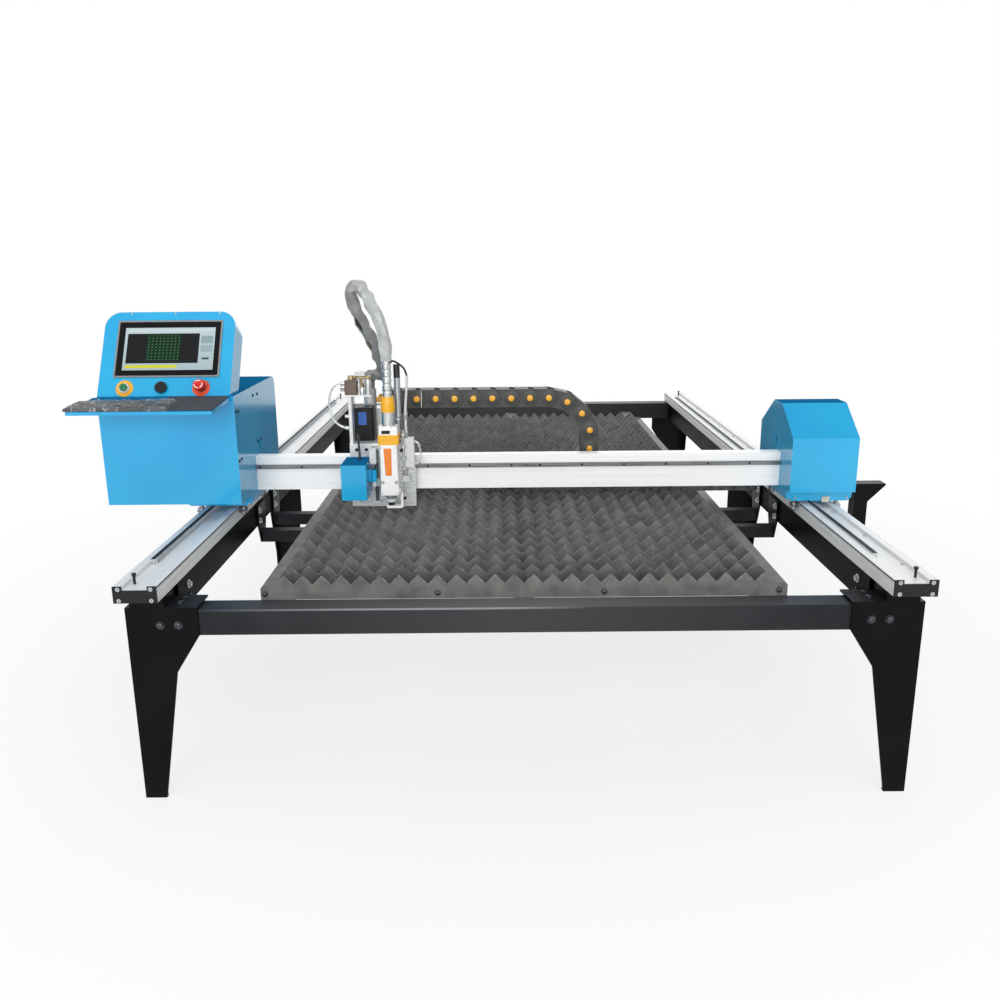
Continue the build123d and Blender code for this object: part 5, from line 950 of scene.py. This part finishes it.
def console_details():
    """The monitor's rim, glass and lit panel, the buttons' rings and collar, and the mushroom stop."""
    screws = copies(dome_screw(3.6, 2.4), [on_face(x, 319, 3) for x in (-1390, -1232, -1074)], FACE_OUT)
    piece("console_screws", screws, "gantry", "zinc")
    monitor = on_face(-1244, 181, 3)
    rim = placed(opened(374, 220, 4, 6.5, 4, 0.8), monitor, LEVEL, FACE_UP)
    piece("monitor_rim", rim, "gantry", "rim", ("monitor",))
    glass = placed(slab(360.8, 206.8, 3, 1, 0.3), monitor, LEVEL, FACE_UP)
    piece("monitor_glass", glass, "gantry", "bezel")
    wide, high, left, foot = 320, 164, -1402, 98
    lit = slab(wide, high, 0.3, 0.5, 0.1)
    lit = placed(lit, on_face(left + wide / 2, foot + high / 2, 6), LEVEL, FACE_UP)
    panel = piece("monitor_panel", lit, "gantry", "screen")

    def over_panel(p):
        """Shares of the panel's width and height."""
        return np.stack(((p[:, 0] - left) / wide, ((p - FACE_FOOT) @ FACE_UP - foot) / high), axis=1)

    own_map(panel, "screen", over_panel)
    legend = turned([(15, 0), (15, 1.8), (30, 1.8), (31, 1), (31, 0)], 40)
    start_ring, stop_ring = [copies(legend, [on_face(x, BUTTON_UP, 3)], FACE_OUT) for x in (START_X, STOP_X)]
    piece("start_legend", start_ring, "gantry", "ring", ("button_rings",))
    piece("stop_legend", stop_ring, "gantry", "stop_ring")
    collar = turned([(13.5, 0), (13.5, 6.2), (14.5, 7), (16.8, 7), (18, 5.5), (18, 0)], 32)
    start_collar = copies(collar, [on_face(START_X, BUTTON_UP, 5)], FACE_OUT)
    piece("start_collar", start_collar, "gantry", "chrome")
    cap = turned([
        (0, 9), (12, 9), (12, 19), (15, 22.5), (19.5, 25), (21, 28.5), (21, 32.5), (20, 35.5), (17.5, 37.8),
        (12, 39.2), (6, 39.8), (0, 40),
    ], 40)
    middle = on_face(STOP_X, BUTTON_UP, 0)
    mushroom = copies(cap, [middle], FACE_OUT)
    stop = piece("stop_mushroom", mushroom, "emergency_stop", "red", ("emergency_stop",))

    def round_cap(p):
        """The turn round the cap's axis as a share, and the distance from the axis."""
        across, up = (p - middle)[:, 0], (p - middle) @ FACE_UP
        return np.stack((np.arctan2(up, across) / 2 / pi + 0.5, np.hypot(across, up)), axis=1)

    own_map(stop, "cap", round_cap)


# Tray: keyboard under its film, and the mouse mat
def on_tray(x, y, lift):
    """A place on the tilted tray from its back left corner: right, back and off the sheet."""
    return TRAY_CORNER + y * TRAY_UP + lift * TRAY_OUT + np.array((x, 0.0, 0.0))


def film_shape(left, right, front, back):
    """Clear film over the keys as a grid: it falls to the tray along its edges by a smooth step over 10 mm,
    and between them stands in sharp ridges, each (1 - |sin|) to the fifth power of a bent line across the
    sheet."""
    across, along = np.meshgrid(np.linspace(left, right, 150), np.linspace(front, back, 64))
    ridges = np.zeros_like(across)
    waves = (
        (0.35, 0.062, 0.3, 0.020), (-0.62, 0.045, 1.7, 0.016),
        (1.15, 0.038, 0.9, 0.027), (0.05, 0.030, 4.0, 0.035),
    )
    for turn, wave, phase, bend in waves:
        line = across * cos(turn) + along * sin(turn)
        other = along * cos(turn) - across * sin(turn)
        ridges += (1 - np.abs(np.sin(wave * line / 2 + phase + 1.4 * np.sin(bend * other)))) ** 5
    edge = np.minimum.reduce((across - left, right - across, along - front, back - along))
    fall = np.clip(edge / 10, 0, 1)
    fall = fall * fall * (3 - 2 * fall)
    lift = 1.2 + fall * (10.6 + 4.2 * np.clip(ridges, 0, 1.6))
    spots = [values[..., None] for values in (across, along, lift)]
    grid = TRAY_CORNER + spots[0] * np.array(LEVEL) + spots[1] * TRAY_UP + spots[2] * TRAY_OUT
    index = np.arange(across.size).reshape(across.shape)
    quads = np.stack((index[:-1, :-1], index[:-1, 1:], index[1:, 1:], index[1:, :-1]), axis=-1)
    return grid.reshape(-1, 3), quads.reshape(-1, 4).tolist()


def tray_details():
    """A low keyboard with six rows of keys, clear film crumpled over it, and the mat cut round its right
    end."""
    middle_x, middle_y, thick = 156, -154, 8
    base = placed(slab(340, 126, thick, 8, 1.5), on_tray(middle_x, middle_y, 0), LEVEL, TRAY_UP)
    piece("keyboard_base", base, "gantry", "key", ("keyboard_and_pad",))
    cap = prism(rounded(15, 16, 1.5, 2), [(0, 0), (2.2, 0.8), (3, 1.6)])
    columns = middle_x + np.concatenate((-154.5 + 16.8 * np.arange(15), 108.5 + 16.8 * np.arange(3)))
    rows = middle_y - 46.5 + 18.6 * np.arange(6)
    keys = copies(cap, [on_tray(x, y, thick) for x in columns for y in rows], TRAY_OUT)
    piece("keyboard_keys", keys, "gantry", "keycap")
    cut = film_shape(-13.5, 331, -223.5, -88)
    film = piece("keyboard_film", cut, "gantry", "film", smooth=24.0)
    outline = (
        (280, -4), (272, -12), (272, -89), (327, -89), (327, -212),
        (469, -212), (477, -204), (477, -12), (469, -4),
    )
    mat = placed(prism(outline, [(0, 0), (2.2, 0), (3, 1)]), on_tray(0, 0, 0), LEVEL, TRAY_UP)
    piece("mouse_mat", mat, "gantry", "mat")


# Drag chain: one moulded link, repeated along the upper run, round the bend and in the trough
def link_shape():
    """A link in its own axes, along, up and towards the front: two side plates with a round nose about the
    next pivot and a hollow about their own, bars across the top and bottom, tongues inside and a raised
    ring."""
    nose = np.linspace(-pi / 2, pi / 2, 13)
    front = np.stack((CHAIN_PITCH + CHAIN_HALF * np.cos(nose), CHAIN_HALF * np.sin(nose)), axis=1)
    gap = np.linspace(radians(72), -radians(72), 11)
    back = (CHAIN_HALF + 0.6) * np.stack((np.cos(gap), np.sin(gap)), axis=1)
    heel = back[0, 0] + 4
    outline = np.concatenate((front, [(heel, CHAIN_HALF)], back, [(heel, -CHAIN_HALF)]))
    side_thick, bar_thick = 8, 6.5
    side = plate(outline, side_thick, 0.8)
    tongue = prism(rounded(74, 50, 6, 3) + (67, 0), [(0, 0), (5, 0)])
    bar = plate(rounded(54, 60, 3, 3), bar_thick, 1)
    ring = spindle([(30.5, 0), (30.5, 0.3), (30, 0.6)], 28)
    inner = CHAIN_SIDE - side_thick
    shapes = []
    for facing in (1, -1):
        up = (0, facing, 0)
        shapes.append(placed(side, (0, 0, facing * inner), LEVEL, up))
        shapes.append(placed(tongue, (0, 0, facing * (inner - 6)), LEVEL, up))
        shapes.append(placed(ring, (CHAIN_PITCH, 0, facing * (CHAIN_SIDE - 0.2)), LEVEL, up))
        shapes.append(placed(bar, (41, facing * (CHAIN_HALF - bar_thick), 0), LEVEL, (0, 0, -facing)))
    return joined(*shapes)


def on_pivot(shape, x, z, angle, order=0):
    """A link's shape on its pivot, turned down by an angle, and 0.3% narrower for each place in the order,
    so that links that gather on one place don't share faces."""
    narrower = (shape[0] * (1, 1, 1 - 0.003 * order), shape[1])
    return placed(narrower, (x, CHAIN_Y, z), (cos(angle), 0, -sin(angle)), (sin(angle), 0, cos(angle)))


def share_travel(made):
    """The piece's place baked into its mesh, where it stays as a free piece."""
    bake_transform(made)


def drag_chain():
    """The links at their pivots. The first upper link rides on the head carriage and the bend on its own
    body;
    the other links of the straight runs are free pieces with their places baked in, and the lower links after
    the first are gathered on one place."""
    link = link_shape()
    cap = turned([(0, 0), (12, 0), (12, 1), (11.2, 2.4), (8.5, 3.4), (0, 3.7)], 24)
    lift = CHAIN_SIDE + 0.3
    caps = joined(*[
        placed(cap, (CHAIN_PITCH, 0, facing * lift), LEVEL, (0, facing, 0)) for facing in (1, -1)
    ])
    first_caps = joined(caps, (caps[0] - (CHAIN_PITCH, 0, 0), caps[1]))
    for step in range(9):
        x = CHAIN_START + step * CHAIN_PITCH
        plates = on_pivot(link, x, CHAIN_HIGH, 0.0, step)
        discs = on_pivot(caps if step else first_caps, x, CHAIN_HIGH, 0.0, step)
        replaced = () if step else ("chain_upper_run",)
        made = [
            piece(f"chain_upper_link_{step}", plates, None, "chain", replaced),
            piece(f"chain_upper_caps_{step}", discs, None, "yellow"),
        ]
        if step == 2:
            strap = placed(slab(2.6, 66, 1.6, 1, 0.4), (x + 18, CHAIN_Y - CHAIN_SIDE, CHAIN_HIGH))
            made.append(piece("chain_cable_tie", strap, None, "nylon"))
        for part in made:
            if step:
                share_travel(part)
            else:
                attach(part, "head_carriage")
    x, z = CHAIN_BEND, CHAIN_HIGH
    plates, discs = [], []
    for step in range(7):
        angle = pi * (step + 0.5) / 7
        plates.append(on_pivot(link, x, z, angle))
        discs.append(on_pivot(caps, x, z, angle))
        x, z = x + CHAIN_PITCH * cos(angle), z - CHAIN_PITCH * sin(angle)
    piece("chain_bend_plates", joined(*plates), "chain_bend", "chain", ("chain_bend_links",))
    piece("chain_bend_caps", joined(*discs), "chain_bend", "yellow")
    for step in range(10):
        x = CHAIN_BEND - min(step, 1) * CHAIN_PITCH
        plates = on_pivot(link, x, CHAIN_LOW - 0.1 * step, pi, step)
        replaced = () if step else ("chain_lower_run",)
        made = piece(f"chain_lower_link_{step}", plates, None, "chain", replaced)
        share_travel(made)


# Head carriage: valve group, motor trim, plate screws and the Z coupling cover
def valve_details():
    """The solenoid coil, its brass tee, the uprights beside it and the push-in elbows at its left."""
    coil_x, branch_x, tee_left, tee_right = -623, -586, -612, -560
    coil = prism(rounded(46, 46, 4), [(0, 1), (1, 0), (52, 0), (54, 2)])
    block = copies(coil, [(coil_x, VALVE_Y, VALVE_FOOT)])
    piece("valve_coil", block, "head_carriage", "coil", ("gas_valve_block",))
    ends = [(x, VALVE_Y, TEE_Z) for x in (tee_left, tee_right)]
    tee = joined(
        copies(spindle([(4.5, 0), (4.5, 64)], 20), ends[:1], LEVEL),
        copies(hex_bolt(7, 10, 7.8), ends, LEVEL),
        copies(spindle([(6.6, 0), (6.6, 30)], 20), [(branch_x, VALVE_Y, 1168)]),
        copies(hex_bolt(9.5, 12, 10), [(branch_x, VALVE_Y, 1162)]),
        copies(hex_bolt(10.5, 16, 11), [(coil_x, VALVE_Y, 1190)]),
    )
    piece("valve_tee", tee, "head_carriage", "brass")
    slim = spindle([(8, 0), (8, 10), (5.8, 11), (5.8, 30), (7.2, 31), (7.2, 40), (4.5, 43), (4.5, 58)], 20)
    stout = spindle([(13.5, 0), (13.5, 14), (12, 15), (12, 32), (10.5, 34), (10.5, 54), (8, 58)], 24)
    elbow = spindle([(8.5, 0), (8.5, 6), (6.5, 7), (6.5, 12), (7.8, 13), (7.8, 17), (4.5, 18)], 18)
    elbow_spots = [
        (-646, VALVE_Y, 1176), (-646, VALVE_Y, 1154), (-646, VALVE_Y - 13, 1164), (-634, VALVE_Y, 1008),
        (-634, VALVE_Y, 1052),
    ]
    pipes = joined(
        copies(slim, [(-592, VALVE_Y - 15, VALVE_FOOT), (-574, VALVE_Y + 12, VALVE_FOOT)]),
        copies(stout, [(tee_right, VALVE_Y, VALVE_FOOT)]), copies(elbow, elbow_spots, LEFTWARD),
    )
    piece("valve_pipes", pipes, "head_carriage", "zinc")
    plug = copies(plate(rounded(40, 30, 3), 16, 2), [(-588, VALVE_Y, 1205.5)])
    piece("valve_plug", plug, "head_carriage", "fitting")


def carriage_details():
    """The motor's blank plate, lid and screws, the carriage plate's screws, and two white covers."""
    motor_x, motor_y, motor_top = -598, -803.5, 1065
    blank = placed(slab(31, 51, 0.6, 2, 0.2), (-601.5, -843.5, 1027.5))
    piece("motor_plate", blank, "head_carriage", "blank")
    lid = copies(plate(rounded(72, 72, 10), 4.5, 1.5), [(motor_x, motor_y, motor_top)])
    piece("motor_lid", lid, "head_carriage", "cap")
    corners = [(motor_x + x, motor_y + y, motor_top + 4.2) for x in (-28, 28) for y in (-28, 28)]
    piece("motor_screws", copies(socket_screw(3.5, 3), corners), "head_carriage", "zinc")
    spots = [(x, -977, z) for x, z in ((-608, 932), (-572, 932), (-433, 743), (-600, 738))]
    screws = copies(socket_screw(6.2, 4), spots, FRONTWARD)
    piece("plate_screws", screws, "head_carriage", "oxide")
    cover = placed(slab(25, 60, 26, 3, 1.5), (-540.5, -1019.3, 919.5))
    piece("coupling_cover", cover, "head_carriage", "fitting")
    plug = copies(spindle([(6.2, 0), (7.5, 1.5), (7.5, 18.5), (6, 20)], 18), [(-536, -1056, 808)])
    piece("sensor_plug", plug, "head_carriage", "fitting")


# Cutting head: front cover, orange panel, knobs, nozzle and gas lines
def head_details():
    """The tapered front cover with its orange panel, knobs and screws, and a blank plate on the block
    above."""
    outline = (
        (-33, 2), (33, 2), (33.5, 6), (28.5, 184), (26.5, 187), (-26.5, 187), (-28.5, 184), (-33.5, 6),
    )
    cover = placed(plate(outline, 3, 0.8), (HEAD_X, HEAD_FRONT, COVER_FOOT))
    piece("head_cover", cover, "z_slide", "white")
    outline = ((-12, 76), (8, 76), (9.5, 80), (10.5, 178), (-18.5, 178), (-13.5, 80))
    panel = placed(plate(outline, 1.2, 0.4), (HEAD_X, COVER_FRONT, COVER_FOOT))
    piece("head_orange_panel", panel, "z_slide", "orange")
    knob = spindle([(6.8, 0), (6.8, 3), (6, 3.8), (4.2, 3.8), (3.6, 2.6)], 24)
    places = ((-23.5, 180), (23.5, 180), (-27, 10), (27, 10))
    screw_spots = [(HEAD_X + x, COVER_FRONT, COVER_FOOT + z) for x, z in places]
    metal = joined(
        copies(knob, [(x, COVER_FRONT, 827) for x in (-503, -452)], FRONTWARD),
        copies(socket_screw(2.6, 1.6), screw_spots, FRONTWARD),
    )
    piece("head_knobs", metal, "z_slide", "zinc")
    blank = placed(slab(31, 12.5, 0.8, 1, 0.3), (-486, HEAD_FRONT, 1013.5))
    piece("head_blank_plate", blank, "z_slide", "motor")


def nozzle_details():
    """The nozzle from its cone down to the copper tip, all turned on one axis, and the white guard beside
    it."""
    cone = ((27, 775.5), (27, 771.5), (17.5, 761), (17.5, 759))
    rings = ((16.5, 759.2), (16.5, 756), (14.8, 755), (14.8, 753.5), (16.5, 752.5), (16.5, 747), (13, 744.2))
    insulator = ((11.5, 744.4), (11.5, 734), (9.5, 732.5))
    tip = ((8, 732.7), (7.2, 729), (3, 718.6), (1.3, 718.2))
    for name, profile, count, finish, slot, replaced in (
        ("nozzle_cone", cone, 32, "alloy", "nozzle_dark", ("nozzle",)),
        ("nozzle_rings", rings, 32, "chrome", "barrel_steel", ()),
        ("nozzle_insulator", insulator, 28, "motor", "nozzle_dark", ()),
        ("nozzle_tip", tip, 24, "copper", "nozzle_dark", ()),
    ):
        piece(name, copies(spindle(profile, count), [(HEAD_X, HEAD_Y, 0)]), "z_slide", finish, replaced)
    foot = prism(rounded(58, 30, 4), [(0, 1), (1, 0), (8.5, 0), (9.5, 1)])
    post = prism(rounded(8, 12, 2, 3), [(0, 0), (72, 0)])
    guard = joined(
        copies(foot, [(HEAD_X + 12, HEAD_Y, 723)]), copies(post, [(-437, HEAD_Y, 724)]),
        copies(slab(13, 12, 16, 1, 0.5), [(-439.5, HEAD_Y, 780)]),
    )
    piece("nozzle_guard", guard, "z_slide", "white")


def gas_line_details():
    """Pipes, nuts and connectors at the right of the head, up to the filter and the signal conduit."""
    nut = hex_bolt(8.5, 10, 9)
    line_x, line_y, feed_x = -428, -1020, -419
    lines = joined(
        pipe([(line_x, line_y, z) for z in (862, 900, 960, 1012)], 4),
        pipe([(-424, -995, z) for z in (872, 860, 848, 835)], 4),
        copies(nut, [(line_x, line_y, z) for z in (862, 902, 946, 990)]),
        copies(nut, [(-446, GAS_Y, z) for z in (962, 1000, 1046)]),
    )
    piece("gas_line_fittings", lines, "z_slide", "zinc")
    terminal = copies(slab(26, 24, 24, 2, 1), [(-423, -993.5, 812)])
    piece("gas_terminal", terminal, "z_slide", "fitting")
    knob = turned([(0, 0), (5.8, 0), (6.2, 4), (5.5, 9), (0, 9.5)], 18)
    piece("gas_knob", copies(knob, [(-436, -1014, 936)], FRONTWARD), "z_slide", "cap")
    conduit = (
        (-463, -1043, 1262), (-456, -1042, 1272), (-442, -1034, 1264),
        (-426, -1016, 1250), (-413, -1002, 1232), (-409, -997, 1208),
    )
    piece("signal_conduit", pipe(conduit, 3.6), "z_slide", "lead")
    feed = (
        (-409, -997, 1212), (-409.5, GAS_Y, 1180), (-414, GAS_Y, 1140),
        (-418, GAS_Y, 1100), (feed_x, GAS_Y, 1040), (feed_x, GAS_Y, 978),
    )
    piece("signal_feed_pipe", pipe(feed, 4.8), "z_slide", "fitting")
    gland = spindle([(7.5, 0), (8.5, 2), (8.5, 22), (7, 24), (7, 34)], 20)
    glands = copies(gland, [(feed_x, GAS_Y, z) for z in (1050, 980)])
    piece("signal_glands", glands, "z_slide", "zinc")
    places = ((-391, 966), (-380, 966), (-370, 950), (-366, 920), (-370, 892), (-380, 880), (-391, 880))
    piece("gas_bent_pipe", pipe([(x, GAS_Y, z) for x, z in places], 4), "z_slide", "hose")


wrap_sleeve()
thin_cords()
table_details()
gantry_details()
console_details()
tray_details()
drag_chain()
valve_details()
carriage_details()
head_details()
nozzle_details()
gas_line_details()


# Studio: pale floor and backdrop, a broad front light and soft fill
def ray_mask(tree, *kinds):
    """One for a ray of any of these kinds, and nothing for others."""
    rays = add_node(tree, "LightPath")
    mask = 0.0
    for kind in kinds:
        mask = add_node(tree, "Math", mask, rays[f"Is {kind} Ray"], operation="MAXIMUM")[0]
    return mask


def light_studio():
    """A white surround for the camera and reflections, a dimmer one as fill, and three wide suns."""
    world = bpy.data.worlds.new("studio")
    scene.world = world
    world.use_nodes = True
    tree = world.node_tree
    tree.nodes.clear()
    seen = ray_mask(tree, "Camera", "Glossy", "Transmission")
    fill = add_node(tree, "Background", paint("#F4F7FA"), 0.42)[0]
    plain = add_node(tree, "Background", paint("#FFFFFF"), 1.0)[0]
    both = add_node(tree, "MixShader", seen, fill, plain)[0]
    add_node(tree, "OutputWorld", both)
    for name, strength, spread, aim in (
        ("front_softbox", 2.4, 50.0, (0.05, 0.99, -0.12)),
        ("top_softbox", 0.95, 60.0, (0.0, 0.10, -1.0)),
        ("rear_softbox", 0.6, 60.0, (-0.15, -0.85, -0.45)),
    ):
        lamp = bpy.data.lights.new(name, "SUN")
        lamp.energy = strength
        lamp.angle = radians(spread)
        made = bpy.data.objects.new(name, lamp)
        made.rotation_euler = Vector(aim).to_track_quat("-Z", "Y").to_euler()
        scene.collection.objects.link(made)


def lay_floor():
    """A pale floor just under the feet, which turns plain white for the camera away from the machine."""
    half, drop = 30.0, 0.0005
    mesh = bpy.data.meshes.new("studio_floor")
    corners = [(x * half, y * half, -drop) for x, y in ((-1, -1), (1, -1), (1, 1), (-1, 1))]
    mesh.from_pydata(corners, [], [[0, 1, 2, 3]])
    floor = bpy.data.objects.new("studio_floor", mesh)
    scene.collection.objects.link(floor)
    look = Look("pale_floor", Base_Color=paint("#F2F2F2"), Roughness=0.9, Specular_IOR_Level=0.1)
    away = look.node("VectorMath", look.spots, operation="LENGTH")["Value"]
    far = look.node("MapRange", away, 1.4, 3.6, 0.72, interpolation_type="SMOOTHSTEP")[0]
    share = look.node("Math", far, ray_mask(look.tree, "Camera", "Glossy"), operation="MULTIPLY")[0]
    white = look.node("Emission", paint("#FFFFFF"), 1.0)[0]
    both = look.node("MixShader", share, look.shader.outputs[0], white)[0]
    look.tree.links.new(both, look.tree.nodes["Material Output"].inputs["Surface"])
    mesh.materials.append(look.material)


light_studio()
lay_floor()
